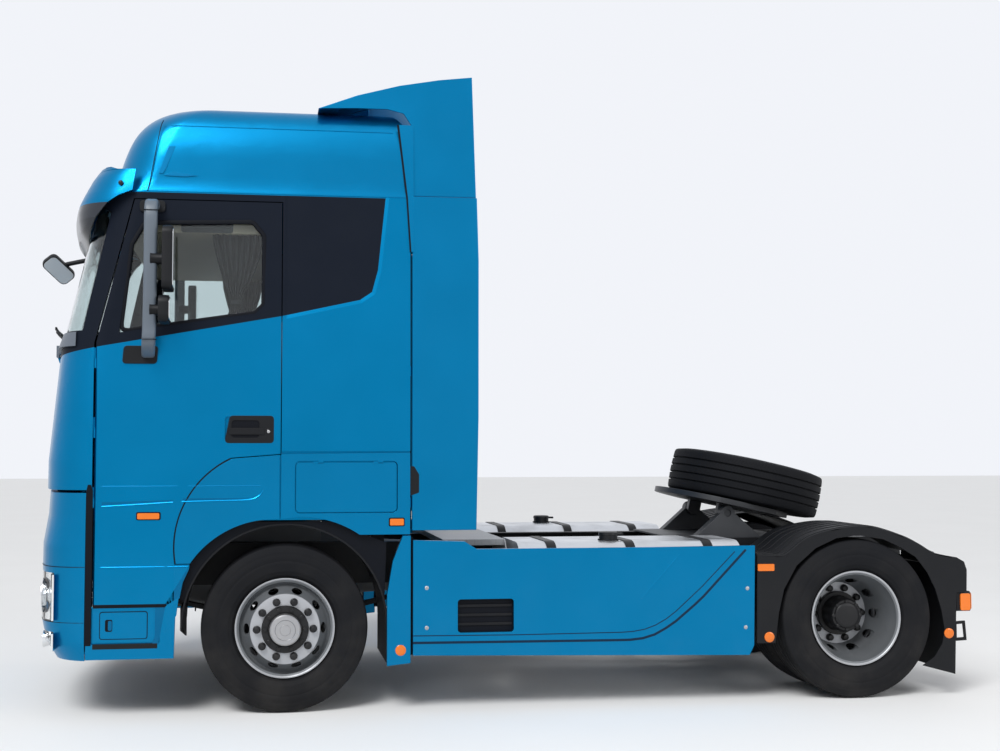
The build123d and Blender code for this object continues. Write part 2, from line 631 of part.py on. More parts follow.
with BuildPart() as side_panels:
    with BuildSketch(side_plane(PANEL_T - BODY_HALF)):
        with BuildLine():
            Polyline((DOOR_REAR - 4.0, 1155.0), (DOOR_REAR - 4.0, SILL_REAR - GAP),
                     (ARCH_HIGH[0], ARCH_HIGH[1] - GAP))
            ThreePointArc((ARCH_HIGH[0], ARCH_HIGH[1] - GAP), (ARCH_MID[0] + 4.0, ARCH_MID[1] - 4.0),
                          (ARCH_FRONT + GAP, ARCH_LOW))
            Line((ARCH_FRONT + GAP, ARCH_LOW), (-560.0, ARCH_LOW))
            ThreePointArc((-560.0, ARCH_LOW), (-420.0, 1045.0), (DOOR_REAR - 4.0, 1155.0))
        make_face()
        with BuildLine():
            Polyline((600.0, 1060.0), (CAB_REAR, 1060.0), (CAB_REAR, PANEL_TOP - 4.0),
                     (DOOR_REAR + 4.0, PANEL_TOP - 12.0), (DOOR_REAR + 4.0, 1155.0))
            ThreePointArc((DOOR_REAR + 4.0, 1155.0), (330.0, 1120.0), (440.0, 1060.0))
            Line((440.0, 1060.0), (600.0, 1060.0))
        make_face()
        with Locations(((LOCKER[0] + LOCKER[1]) / 2, (LOCKER[2] + LOCKER[3]) / 2)):
            RectangleRounded(LOCKER[1] - LOCKER[0], LOCKER[3] - LOCKER[2], 30.0, mode=Mode.SUBTRACT)
    extrude(amount=PANEL_T)
    with BuildSketch(side_plane(PANEL_T - BODY_HALF)):
        Polygon(*STEP_PANEL, align=None)
    extrude(amount=PANEL_T)
    with BuildSketch(side_plane(-BODY_HALF)):
        with Locations(STEP_RECESS[:2]):
            RectangleRounded(STEP_RECESS[2], STEP_RECESS[3], 16.0)
    extrude(amount=-20.0, mode=Mode.SUBTRACT)
    # Strip set back between the bumper and the door
    with BuildSketch(side_plane(PANEL_T + 12.0 - BODY_HALF)):
        Polygon((WING_REAR, 380.0), (DOOR_FRONT - 2 * GAP, 380.0), (DOOR_FRONT - 2 * GAP, FLOOR_Z),
                (WING_REAR, FLOOR_Z), align=None)
    extrude(amount=12.0)
    # Hinge knuckles for the locker lid, on lugs from the panel
    for knuckle_x in LID_KNUCKLES:
        with BuildSketch(cross_plane(knuckle_x + LID_KNUCKLE_L + SEAT_GAP)):
            with Locations((-LID_HINGE_Y, LID_HINGE_Z)):
                Circle(LID_HINGE_R)
                Rectangle(2 * LID_HINGE_R, LOCKER[3] + 6.0 - LID_HINGE_Z, align=(Align.CENTER, Align.MIN))
        extrude(amount=LID_KNUCKLE_L)
    mirror(about=Plane.XZ)
side_panels.part.label = "side_panels"

# Locker lid on the left, hung on knuckles along its top edge
LID_T = 22.0

with BuildPart() as locker_lid_left:
    with BuildSketch(side_plane(LID_T - BODY_HALF)):
        with Locations(((LOCKER[0] + LOCKER[1]) / 2, (LOCKER[2] + LOCKER[3]) / 2)):
            RectangleRounded(LOCKER[1] - LOCKER[0] - 2 * LID_GAP, LOCKER[3] - LOCKER[2] - 2 * LID_GAP, 24.0)
        with Locations(((LOCKER[0] + LOCKER[1]) / 2, LOCKER[3] - LID_GAP - 2.0)):
            Rectangle(LOCKER[1] - LOCKER[0], 20.0, align=(Align.CENTER, Align.MIN), mode=Mode.SUBTRACT)
    extrude(amount=LID_T)
    # Knuckles of the lid, and notches for those of the panel
    for knuckle_x in LID_KNUCKLES:
        with BuildSketch(cross_plane(knuckle_x + LID_KNUCKLE_L)):
            with Locations((-LID_HINGE_Y, LID_HINGE_Z)):
                Rectangle(2 * LID_HINGE_R + 12.0, 2 * LID_HINGE_R + 8.0)
        extrude(amount=LID_KNUCKLE_L + 2 * SEAT_GAP, mode=Mode.SUBTRACT)
        with BuildSketch(cross_plane(knuckle_x)):
            with Locations((-LID_HINGE_Y, LID_HINGE_Z)):
                Circle(LID_HINGE_R)
                Rectangle(2 * LID_HINGE_R, 10.0, align=(Align.CENTER, Align.MAX))
        extrude(amount=LID_KNUCKLE_L)
locker_lid_left.part.label = "locker_lid_left"

with BuildPart() as locker_lid_right:
    mirror(locker_lid_left.part, about=Plane.XZ)
locker_lid_right.part.label = "locker_lid_right"

# Steps below each door, hung from the floor between cheek plates
# Steps: height, distance in from the side
STEP_LEVELS = ((440.0, 55.0), (700.0, 80.0), (940.0, 115.0))
STEP_D = 230.0
CHEEK_T = 6.0
CHEEK_LOW = 436.0

with BuildPart() as steps:
    for level, drawn_in in STEP_LEVELS:
        with BuildSketch(top_plane(level)):
            with Locations((STEP_X, drawn_in - BODY_HALF)):
                Rectangle(STEP_W, STEP_D, align=(Align.CENTER, Align.MIN))
        extrude(amount=22.0)
    for side in (-1, 1):
        with BuildSketch(cross_plane(STEP_X + side * (STEP_W / 2 + CHEEK_T / 2) - CHEEK_T / 2)):
            Polygon((55.0 - BODY_HALF, CHEEK_LOW), (80.0 - BODY_HALF, 760.0), (115.0 - BODY_HALF, FLOOR_Z),
                    (375.0 - BODY_HALF, FLOOR_Z), (345.0 - BODY_HALF, CHEEK_LOW), align=None)
        extrude(amount=CHEEK_T)
    mirror(about=Plane.XZ)
steps.part.label = "steps"

# Interior: seats, bunk, dashboard with steering wheel, overhead console, curtains
SEAT_Y = 650.0
CUSHION_TOP = 1700.0

with BuildPart() as seats:
    with BuildSketch(top_plane(FLOOR_Z + FLOOR_T)):
        with Locations((-330.0, -SEAT_Y)):
            RectangleRounded(360.0, 320.0, 40.0)
    extrude(amount=CUSHION_TOP - 130.0 - FLOOR_Z - FLOOR_T)
    with BuildSketch(side_plane(250.0 - SEAT_Y)):
        Polygon((-600.0, CUSHION_TOP - 130.0), (-60.0, CUSHION_TOP - 130.0), (90.0, 2380.0), (-30.0, 2400.0),
                (-160.0, CUSHION_TOP - 20.0), (-590.0, CUSHION_TOP), align=None)
    extrude(amount=500.0)
    with BuildSketch(side_plane(130.0 - SEAT_Y)):
        Polygon((-25.0, 2399.0), (85.0, 2381.0), (95.0, 2560.0), (0.0, 2575.0), align=None)
    extrude(amount=260.0)
    mirror(about=Plane.XZ)
seats.part.label = "seats"

BUNK_T = 150.0

with BuildPart() as bunk:
    with BuildSketch(top_plane(BUNK_LOW)):
        with Locations((160.0, 0.0)):
            Rectangle(530.0, 2 * (BODY_HALF - DOOR_T - GAP) - 20.0, align=(Align.MIN, Align.CENTER))
    extrude(amount=BUNK_T)
    fillet(bunk.edges().filter_by(Axis.Z), 40.0)
bunk.part.label = "bunk"

WHEEL_HUB = (-730.0, 2010.0)
WHEEL_LEAN = 35.0
WHEEL_RING_R = 225.0

with BuildPart() as dashboard:
    with BuildSketch(side_plane(0.0)):
        Polygon((-1400.0, 1560.0), (-1400.0, 2262.0), (-1150.0, 2262.0), (-960.0, 2235.0), (-885.0, 2130.0),
                (-905.0, 1960.0), (-1010.0, 1560.0), align=None)
    extrude(amount=BODY_HALF - DOOR_T - 2 * GAP, both=True)
    add(lower_room.part, mode=Mode.INTERSECT)
    rim_plane = Plane(origin=(FRONT_AXLE_X + WHEEL_HUB[0], -SEAT_Y, WHEEL_HUB[1]), x_dir=(0, 1, 0),
                      z_dir=(-math.sin(math.radians(WHEEL_LEAN)), 0, -math.cos(math.radians(WHEEL_LEAN))))
    with BuildSketch(rim_plane):
        Circle(24.0)
        Rectangle(2 * WHEEL_RING_R, 26.0)
    extrude(amount=14.0)
    with BuildSketch(rim_plane):
        Circle(28.0)
    extrude(amount=330.0)
    with BuildSketch(rim_plane):
        Circle(WHEEL_RING_R + 15.0)
        Circle(WHEEL_RING_R - 15.0, mode=Mode.SUBTRACT)
    extrude(amount=28.0)
dashboard.part.label = "dashboard"

CONSOLE_LOW = 2875.0
CONSOLE_REAR = -90.0

with BuildPart() as overhead_console:
    with BuildSketch(side_plane(0.0)):
        Polygon((-1060.0, 3040.0), (-1000.0, 2900.0), (-900.0, CONSOLE_LOW), (CONSOLE_REAR, CONSOLE_LOW),
                (CONSOLE_REAR, 3085.0), (-1060.0, 3085.0), align=None)
    extrude(amount=BODY_HALF - 17.0 - DOOR_T - 2 * GAP, both=True)
    with BuildSketch(side_plane(0.0)):
        Polygon((-1060.0, DOOR_TOP + 2 * GAP), (CONSOLE_REAR, DOOR_TOP + 2 * GAP), (CONSOLE_REAR, 3095.0),
                (-1060.0, 3095.0), align=None)
    extrude(amount=WIDE, both=True)
    add(wall_form, mode=Mode.INTERSECT)
overhead_console.part.label = "overhead_console"

# Gathered curtains at the rear of the door windows
CURTAIN_Y = BODY_HALF - 125.0

with BuildPart() as curtains:
    for height, width in ((CONSOLE_LOW, 330.0), (2480.0, 120.0), (2300.0, 200.0)):
        with BuildSketch(top_plane(height)):
            with Locations((-270.0, -CURTAIN_Y)):
                Ellipse(width / 2, 30.0)
    loft(ruled=True)
    mirror(about=Plane.XZ)
curtains.part.label = "curtains"

# Front mirror over the right corner of the windscreen
with BuildPart() as front_mirror:
    with BuildSketch(Plane(origin=(FRONT_AXLE_X - 1620.0, 850.0, 3000.0), x_dir=(0, 1, 0),
                           z_dir=(0.5, 0.0, -0.87))):
        RectangleRounded(290.0, 210.0, 50.0)
    extrude(amount=50.0)
    with BuildSketch(cross_plane(-1620.0)):
        with Locations((850.0, 3020.0)):
            Circle(18.0)
    extrude(amount=560.0)
    add(visor_outer.part, mode=Mode.SUBTRACT)
front_mirror.part.label = "front_mirror"

# Frame: two channel rails with crossmembers, cab mounts and the rear lamp bar
CROSS_X = (1400.0, WHEELBASE - 1270.0, WHEELBASE - 270.0)
TOW_SPACING = (160.0, 100.0)
TOW_HOLE_R = 10.5
TOW_Z = 825.0
REAR_PLATE_T = 12.0
EAR_IN = 425.0
EAR_OUT = 490.0
REST_X = 620.0

with BuildPart() as frame:
    with BuildSketch(cross_plane(RAIL_FRONT)):
        Polygon((-RAIL_OUT, RAIL_TOP - RAIL_H), (-RAIL_OUT, RAIL_TOP), (RAIL_FLANGE - RAIL_OUT, RAIL_TOP),
                (RAIL_FLANGE - RAIL_OUT, RAIL_TOP - RAIL_T), (RAIL_T - RAIL_OUT, RAIL_TOP - RAIL_T),
                (RAIL_T - RAIL_OUT, RAIL_TOP - RAIL_H + RAIL_T),
                (RAIL_FLANGE - RAIL_OUT, RAIL_TOP - RAIL_H + RAIL_T),
                (RAIL_FLANGE - RAIL_OUT, RAIL_TOP - RAIL_H), align=None)
    extrude(amount=RAIL_REAR - RAIL_FRONT)
    # Ears for the cab's tilt pin
    with BuildSketch(side_plane(-RAIL_OUT)):
        with Locations(CAB_PIVOT):
            RectangleRounded(90.0, 130.0, 30.0)
        with Locations((CAB_PIVOT[0] + 130.0, CAB_PIVOT[1])):
            Rectangle(200.0, 90.0)
    extrude(amount=EAR_OUT - RAIL_OUT)
    with BuildSketch(side_plane(-RAIL_OUT)):
        with Locations(CAB_PIVOT):
            Circle(PIVOT_R)
    extrude(amount=ARM_IN + ARM_T + 15.0 - RAIL_OUT)
    # Rear rest of the cab
    with BuildSketch(top_plane(RAIL_TOP)):
        with Locations((REST_X, RAIL_FLANGE / 2 - RAIL_OUT)):
            Rectangle(90.0, RAIL_FLANGE)
    extrude(amount=FLOOR_Z - SEAT_GAP - RAIL_TOP)
    # Rear lamp bar
    with BuildSketch(cross_plane(RAIL_REAR - 50.0)):
        Polygon((30.0 - BODY_HALF, 610.0), (30.0 - BODY_HALF, 660.0), (-RAIL_OUT, 730.0), (-RAIL_OUT + RAIL_T, 730.0),
                (-RAIL_OUT + RAIL_T, 690.0), (-RAIL_OUT, 660.0), (-500.0, 610.0), align=None)
    extrude(amount=30.0)
    mirror(about=Plane.XZ)
    # Crossmembers between the rails
    for cross_x in CROSS_X:
        with BuildSketch(side_plane(0.0)):
            with Locations((cross_x, RAIL_TOP - 88.0)):
                Rectangle(70.0, 130.0)
                with Locations((8.0, 0.0)):
                    Rectangle(70.0, 114.0, mode=Mode.SUBTRACT)
        extrude(amount=RAIL_OUT - RAIL_T, both=True)
    with BuildSketch(side_plane(0.0)):
        with Locations((RAIL_FRONT + 30.0, RAIL_TOP - 200.0)):
            Circle(45.0)
            Circle(38.0, mode=Mode.SUBTRACT)
    extrude(amount=RAIL_OUT - RAIL_T, both=True)
    with BuildSketch(cross_plane(RAIL_REAR)):
        with Locations((0.0, RAIL_TOP - RAIL_H / 2)):
            Rectangle(2 * RAIL_OUT, RAIL_H)
        with Locations((0.0, TOW_Z)):
            with GridLocations(TOW_SPACING[0], TOW_SPACING[1], 2, 2):
                Circle(TOW_HOLE_R, mode=Mode.SUBTRACT)
            Circle(42.0, mode=Mode.SUBTRACT)
    extrude(amount=REAR_PLATE_T)
frame.part.label = "frame"

# Front axle beam with its drop and kingpin bosses
BEAM_D = 110.0
BOSS_R = 46.0
BOSS_H = 190.0

with BuildPart() as front_axle:
    with BuildSketch(cross_plane(-BEAM_D / 2)):
        with BuildLine():
            Polyline((0.0, 330.0), (-520.0, 330.0), (-700.0, 420.0), (-KINGPIN_Y, 440.0), (-KINGPIN_Y, 560.0),
                     (-660.0, 540.0), (-500.0, 440.0), (0.0, 440.0), close=True)
        make_face()
    extrude(amount=BEAM_D)
    with BuildSketch(top_plane(TYRE_R - BOSS_H / 2)):
        with Locations((0.0, -KINGPIN_Y)):
            Circle(BOSS_R)
    extrude(amount=BOSS_H)
    # The beam stops at the boss, so that the knuckle can turn
    with BuildSketch(top_plane(0.0)):
        with Locations((0.0, -KINGPIN_Y)):
            Rectangle(400.0, 200.0, align=(Align.CENTER, Align.MAX))
            Circle(BOSS_R + 30.0, mode=Mode.SUBTRACT)
    extrude(amount=2000.0, mode=Mode.SUBTRACT)
    with BuildSketch(top_plane(0.0)):
        with Locations((0.0, -KINGPIN_Y)):
            Rectangle(400.0, 400.0, align=(Align.CENTER, Align.MAX))
            Circle(BOSS_R, mode=Mode.SUBTRACT)
    extrude(amount=2000.0, mode=Mode.SUBTRACT)
    with BuildSketch(top_plane(0.0)):
        with Locations((0.0, -KINGPIN_Y)):
            Circle(KINGPIN_R + 0.1)
    extrude(amount=2000.0, mode=Mode.SUBTRACT)
    mirror(about=Plane.XZ)
front_axle.part.label = "front_axle"
# Steering knuckle: two ears on the kingpin, a spindle for the hub and a rearward arm
EAR_T = 48.0
SPINDLE_R = 38.0
HUB_IN = 985.0
ARM_TIP = (280.0, 745.0)
ROD_R = 18.0
ROD_TUBE_R = 14.0
ROD_Z = 334.0
ROD_GAP = 6.0
ARM_PLATE_T = 26.0

with BuildPart() as knuckle_left:
    for low in (TYRE_R - BOSS_H / 2 - EAR_T - 0.5, TYRE_R + BOSS_H / 2 + 0.5):
        with BuildSketch(top_plane(low)):
            with Locations((0.0, -KINGPIN_Y)):
                Circle(BOSS_R)
                Rectangle(2 * BOSS_R, 95.0, align=(Align.CENTER, Align.MAX))
        extrude(amount=EAR_T)
    with BuildSketch(top_plane(TYRE_R - BOSS_H / 2 - EAR_T - 0.5)):
        with Locations((0.0, -KINGPIN_Y - 55.0)):
            Rectangle(2 * BOSS_R, 40.0, align=(Align.CENTER, Align.MAX))
    extrude(amount=BOSS_H + 2 * EAR_T + 1.0)
    with BuildSketch(top_plane(TYRE_R - BOSS_H / 2 - EAR_T - 0.5)):
        with Locations((0.0, -KINGPIN_Y)):
            Circle(KINGPIN_R)
    extrude(amount=BOSS_H + 2 * EAR_T + 1.0)
    with BuildSketch(side_plane(-KINGPIN_Y - 60.0)):
        with Locations((0.0, TYRE_R)):
            Circle(SPINDLE_R)
    extrude(amount=240.0)
    # Arm to the tie rod, with the rod's pin hanging below it
    with BuildSketch(top_plane(TYRE_R - BOSS_H / 2 - EAR_T - 0.5)):
        Polygon((-20.0, -KINGPIN_Y + 30.0), (20.0, -KINGPIN_Y - 45.0), (ARM_TIP[0] + 10.0, -ARM_TIP[1] - 26.0),
                (ARM_TIP[0] - 10.0, -ARM_TIP[1] + 24.0), align=None)
        with Locations((ARM_TIP[0], -ARM_TIP[1])):
            Circle(27.0)
    extrude(amount=ARM_PLATE_T)
knuckle_left.part.label = "knuckle_left"

with BuildPart() as knuckle_right:
    mirror(knuckle_left.part, about=Plane.XZ)
knuckle_right.part.label = "knuckle_right"

# Pin of the left arm, which carries the rod
ARM_LOW_Z = TYRE_R - BOSS_H / 2 - EAR_T - 0.5

with knuckle_left:
    with BuildSketch(top_plane(ROD_Z - ROD_R)):
        with Locations((ARM_TIP[0], -ARM_TIP[1])):
            Circle(9.0)
    extrude(amount=ARM_LOW_Z - ROD_Z + ROD_R)
knuckle_left.part.label = "knuckle_left"

with BuildPart() as tie_rod:
    with BuildSketch(side_plane(ARM_TIP[1] - 20.0)):
        with Locations((ARM_TIP[0], ROD_Z)):
            Circle(ROD_TUBE_R)
    extrude(amount=2 * ARM_TIP[1] - 40.0)
    for side in (-1, 1):
        with BuildSketch(top_plane(ROD_Z - ROD_R)):
            with Locations((ARM_TIP[0], side * ARM_TIP[1])):
                Circle(30.0)
        extrude(amount=ARM_LOW_Z - ROD_GAP - ROD_Z + ROD_R)
    with BuildSketch(top_plane(0.0)):
        with Locations((ARM_TIP[0], -ARM_TIP[1])):
            Circle(9.05)
    extrude(amount=1000.0, mode=Mode.SUBTRACT)
tie_rod.part.label = "tie_rod"

# Springs: front leaf packs on the beam, rear beams with air bellows
SPRING_Y = 420.0
SPRING_W = 80.0
SPRING_EYE = 810.0
SPRING_EYE_Z = 625.0

with BuildPart() as suspension:
    with BuildSketch(side_plane(SPRING_W / 2 - SPRING_Y)):
        with BuildLine():
            ThreePointArc((-SPRING_EYE, SPRING_EYE_Z), (0.0, 480.0), (SPRING_EYE, SPRING_EYE_Z))
            Line((SPRING_EYE, SPRING_EYE_Z), (SPRING_EYE, SPRING_EYE_Z + 20.0))
            ThreePointArc((SPRING_EYE, SPRING_EYE_Z + 20.0), (0.0, 515.0), (-SPRING_EYE, SPRING_EYE_Z + 20.0))
            Line((-SPRING_EYE, SPRING_EYE_Z + 20.0), (-SPRING_EYE, SPRING_EYE_Z))
        make_face()
        with Locations((-SPRING_EYE, SPRING_EYE_Z + 10.0), (SPRING_EYE, SPRING_EYE_Z + 10.0)):
            Circle(34.0)
    extrude(amount=SPRING_W)
    with BuildSketch(side_plane(SPRING_W / 2 - SPRING_Y)):
        with Locations((0.0, 480.0)):
            Rectangle(150.0, 80.0)
    extrude(amount=SPRING_W)
    add(front_axle.part, mode=Mode.SUBTRACT)
    for eye_x in (-SPRING_EYE, SPRING_EYE):
        with BuildSketch(side_plane(SPRING_W / 2 - SPRING_Y)):
            with Locations((eye_x, SPRING_EYE_Z + 10.0)):
                Rectangle(50.0, RAIL_TOP - RAIL_H - SPRING_EYE_Z - 10.0, align=(Align.CENTER, Align.MIN))
        extrude(amount=SPRING_W)
    # Rear trailing beams under the axle, a bellows at each end
    with BuildSketch(side_plane(-340.0)):
        Polygon((WHEELBASE - 560.0, 395.0), (WHEELBASE + 560.0, 395.0), (WHEELBASE + 560.0, 432.0),
                (WHEELBASE - 560.0, 432.0), align=None)
    extrude(amount=90.0)
    for bellows_x in (WHEELBASE - 450.0, WHEELBASE + 450.0):
        with BuildSketch(top_plane(432.0)):
            with Locations((bellows_x, -385.0)):
                Circle(105.0)
        extrude(amount=80.0)
        with BuildSketch(top_plane(512.0)):
            with Locations((bellows_x, -385.0)):
                Circle(125.0)
        extrude(amount=RAIL_TOP - RAIL_H - 512.0)
    # Front hanger of each trailing beam
    with BuildSketch(side_plane(-340.0)):
        Polygon((WHEELBASE - 760.0, RAIL_TOP - RAIL_H), (WHEELBASE - 640.0, RAIL_TOP - RAIL_H),
                (WHEELBASE - 540.0, 432.0), (WHEELBASE - 560.0, 395.0), (WHEELBASE - 640.0, 395.0), align=None)
    extrude(amount=90.0)
    mirror(about=Plane.XZ)
suspension.part.label = "suspension"

# Rear axle: banjo housing, tubes and a nose for the propeller shaft
TUBE_R = 70.0
REAR_SPINDLE_R = 60.0
NOSE_X = WHEELBASE - 350.0

with BuildPart() as rear_axle:
    with BuildSketch(side_plane(0.0)):
        with Locations((WHEELBASE, TYRE_R)):
            Circle(TUBE_R)
    extrude(amount=640.0, both=True)
    with BuildSketch(side_plane(0.0)):
        with Locations((WHEELBASE, TYRE_R)):
            Circle(REAR_SPINDLE_R)
    extrude(amount=REAR_OUTER_Y - 60.0, both=True)
    with BuildSketch(cross_plane(WHEELBASE - 150.0)):
        with Locations((0.0, TYRE_R)):
            Circle(190.0)
    with BuildSketch(cross_plane(WHEELBASE + 150.0)):
        with Locations((0.0, TYRE_R)):
            Circle(170.0)
    loft()
    with BuildSketch(cross_plane(NOSE_X)):
        with Locations((0.0, TYRE_R + 10.0)):
            Circle(70.0)
    with BuildSketch(cross_plane(WHEELBASE - 150.0)):
        with Locations((0.0, TYRE_R)):
            Circle(150.0)
    loft()
rear_axle.part.label = "rear_axle"

# Engine, one plain block on two pairs of mounts, and the gearbox behind it
ENGINE_FRONT = -950.0
ENGINE_REAR = 250.0
ENGINE_HALF = 320.0
ENGINE_LOW = 540.0
ENGINE_TOP = 1400.0
GEARBOX_REAR = 1150.0
GEARBOX_Z = 770.0

with BuildPart() as engine:
    with BuildSketch(top_plane(ENGINE_LOW)):
        with Locations((ENGINE_FRONT, 0.0)):
            Rectangle(ENGINE_REAR - ENGINE_FRONT, 2 * ENGINE_HALF, align=(Align.MIN, Align.CENTER))
    extrude(amount=ENGINE_TOP - ENGINE_LOW)
    fillet(engine.edges().filter_by(Axis.X), 40.0)
    for mount_x in (ENGINE_FRONT + 200.0, ENGINE_REAR - 100.0):
        with BuildSketch(side_plane(0.0)):
            with Locations((mount_x, RAIL_TOP - RAIL_H / 2)):
                Rectangle(90.0, 90.0)
        extrude(amount=RAIL_OUT - RAIL_T, both=True)
engine.part.label = "engine"

with BuildPart() as gearbox:
    for section_x, radius in ((ENGINE_REAR, 270.0), (ENGINE_REAR + 160.0, 250.0), (ENGINE_REAR + 200.0, 190.0),
                              (GEARBOX_REAR - 60.0, 160.0), (GEARBOX_REAR, 60.0)):
        with BuildSketch(cross_plane(section_x)):
            with Locations((0.0, GEARBOX_Z)):
                Circle(radius)
    loft(ruled=True)
gearbox.part.label = "gearbox"

SHAFT_R = 50.0
shaft_run = Vector(NOSE_X - GEARBOX_REAR, 0.0, TYRE_R + 10.0 - GEARBOX_Z)

with BuildPart() as driveshaft:
    with BuildSketch(Plane(origin=(FRONT_AXLE_X + GEARBOX_REAR, 0.0, GEARBOX_Z), x_dir=(0, 1, 0), z_dir=shaft_run)):
        Circle(SHAFT_R)
    extrude(amount=shaft_run.length)
    with BuildSketch(cross_plane(GEARBOX_REAR)):
        Rectangle(2000.0, 4000.0)
    extrude(amount=NOSE_X - GEARBOX_REAR, mode=Mode.INTERSECT)
driveshaft.part.label = "driveshaft"

# Fuel tanks with brackets and straps
TANK_FRONT = 1430.0
TANK_REAR = WHEELBASE - 740.0
TANK_IN = 500.0
TANK_OUT = BODY_HALF - 60.0
TANK_LOW = 350.0
TANK_TOP = 995.0
TANK_R = 130.0
STRAP_T = 5.0
STRAP_W = 60.0
STRAP_IN = 210.0
STRAP_X = (TANK_FRONT + STRAP_IN, (TANK_FRONT + TANK_REAR) / 2, TANK_REAR - STRAP_IN)
FILLER_X = 2040.0

with BuildPart() as fuel_tanks:
    with BuildSketch(cross_plane(TANK_FRONT)):
        with Locations((-(TANK_IN + TANK_OUT) / 2, (TANK_LOW + TANK_TOP) / 2)):
            RectangleRounded(TANK_OUT - TANK_IN, TANK_TOP - TANK_LOW, TANK_R)
    extrude(amount=TANK_REAR - TANK_FRONT)
    with BuildSketch(top_plane(TANK_TOP - 6.0)):
        with Locations((FILLER_X, 185.0 - TANK_OUT)):
            Circle(55.0)
    extrude(amount=45.0)
    mirror(about=Plane.XZ)
fuel_tanks.part.label = "fuel_tanks"

with BuildPart() as tank_brackets:
    for strap_x in STRAP_X:
        with BuildSketch(cross_plane(strap_x - STRAP_W / 2)):
            with Locations((-(TANK_IN + TANK_OUT) / 2, (TANK_LOW + TANK_TOP) / 2)):
                RectangleRounded(TANK_OUT - TANK_IN + 2 * STRAP_T, TANK_TOP - TANK_LOW + 2 * STRAP_T,
                                 TANK_R + STRAP_T)
                RectangleRounded(TANK_OUT - TANK_IN, TANK_TOP - TANK_LOW, TANK_R, mode=Mode.SUBTRACT)
        extrude(amount=STRAP_W)
        with BuildSketch(cross_plane(strap_x - STRAP_W / 2)):
            Polygon((-RAIL_OUT, 700.0), (-RAIL_OUT, 940.0), (-TANK_IN + STRAP_T, 860.0), (-TANK_IN + STRAP_T, 480.0),
                    (-TANK_IN + 30.0, 420.0), (-TANK_IN - 90.0, TANK_LOW - STRAP_T), (-900.0, TANK_LOW - STRAP_T),
                    (-900.0, TANK_LOW - 35.0), (-560.0, TANK_LOW - 50.0), (-RAIL_OUT - 30.0, 420.0), align=None)
            with Locations((-(TANK_IN + TANK_OUT) / 2, (TANK_LOW + TANK_TOP) / 2)):
                RectangleRounded(TANK_OUT - TANK_IN + STRAP_T, TANK_TOP - TANK_LOW + STRAP_T,
                                 TANK_R + STRAP_T / 2, mode=Mode.SUBTRACT)
        extrude(amount=STRAP_W)
    mirror(about=Plane.XZ)
tank_brackets.part.label = "tank_brackets"

# Side skirts with the step opening at their front
SKIRT_OUT = BODY_HALF + 2.0
SKIRT_T = 30.0
SKIRT_REAR = WHEELBASE - 680.0
SKIRT = ((763.0, 335.0), (SKIRT_REAR - 43.0, 291.0), (SKIRT_REAR - 13.0, 350.0), (SKIRT_REAR, 970.0),
         (SKIRT_REAR - 650.0, 966.0), (1152.0, 967.0), (1078.0, 1014.0), (763.0, 1024.0))
SKIRT_DOOR = (1035.0, 1380.0, 465.0, 665.0)

with BuildPart() as side_skirts:
    with BuildSketch(side_plane(SKIRT_T - SKIRT_OUT)):
        Polygon(*SKIRT, align=None)
        with Locations(((SKIRT_DOOR[0] + SKIRT_DOOR[1]) / 2, (SKIRT_DOOR[2] + SKIRT_DOOR[3]) / 2)):
            RectangleRounded(SKIRT_DOOR[1] - SKIRT_DOOR[0], SKIRT_DOOR[3] - SKIRT_DOOR[2], 20.0,
                             mode=Mode.SUBTRACT)
    extrude(amount=SKIRT_T)
    for strap_x in STRAP_X:
        for pad_z in (500.0, 820.0):
            with BuildSketch(side_plane(-TANK_OUT - STRAP_T)):
                with Locations((strap_x, pad_z)):
                    Rectangle(STRAP_W, 60.0)
            extrude(amount=SKIRT_OUT - SKIRT_T - TANK_OUT - STRAP_T)
    mirror(about=Plane.XZ)
side_skirts.part.label = "side_skirts"

# Deck behind the cab with two steps up to it
with BuildPart() as deck:
    with BuildSketch(top_plane(RAIL_TOP)):
        with Locations((1000.0, 0.0)):
            Rectangle(400.0, 1700.0, align=(Align.MIN, Align.CENTER))
    extrude(amount=38.0)
    for bar_z in (480.0, 560.0):
        with BuildSketch(cross_plane(1015.0)):
            with Locations((95.0 - BODY_HALF, bar_z)):
                Rectangle(70.0, 30.0)
        extrude(amount=385.0)
    for plate_x in (1010.0, 1395.0):
        with BuildSketch(cross_plane(plate_x)):
            Polygon((55.0 - BODY_HALF, 440.0), (55.0 - BODY_HALF, 640.0), (-850.0, RAIL_TOP + 38.0),
                    (-RAIL_OUT, RAIL_TOP + 38.0), (-RAIL_OUT, 760.0), (165.0 - BODY_HALF, 440.0), align=None)
        extrude(amount=8.0)
    mirror(about=Plane.XZ)
deck.part.label = "deck"

# Strips behind the front wheels
STRIP = ((606.0, 275.0), (749.0, 290.0), (749.0, 1052.0), (700.0, 1052.0), (640.0, 900.0), (606.0, 700.0))

with BuildPart() as fender_strips:
    with BuildSketch(side_plane(PANEL_T - BODY_HALF)):
        Polygon(*STRIP, align=None)
    extrude(amount=PANEL_T)
    mirror(about=Plane.XZ)
fender_strips.part.label = "fender_strips"

# Mudguards: liners over the front wheels, and the rear guards with their flaps
LINER_R = 615.0
LINER_T = 10.0
LINER_Z = 515.0
STAY_RISE = 220.0
GUARD_T = 14.0
GUARD_IN = 600.0
# Rear guard: distance behind the rear axle, height
GUARD_LINE = ((-675.0, 945.0), (-459.0, 915.0), (-270.0, 1020.0), (24.0, 1066.0), (250.0, 1035.0), (421.0, 945.0),
              (490.0, 910.0), (632.0, 845.0), (632.0, 156.0))
GUARD = tuple((WHEELBASE + behind, height) for behind, height in GUARD_LINE)

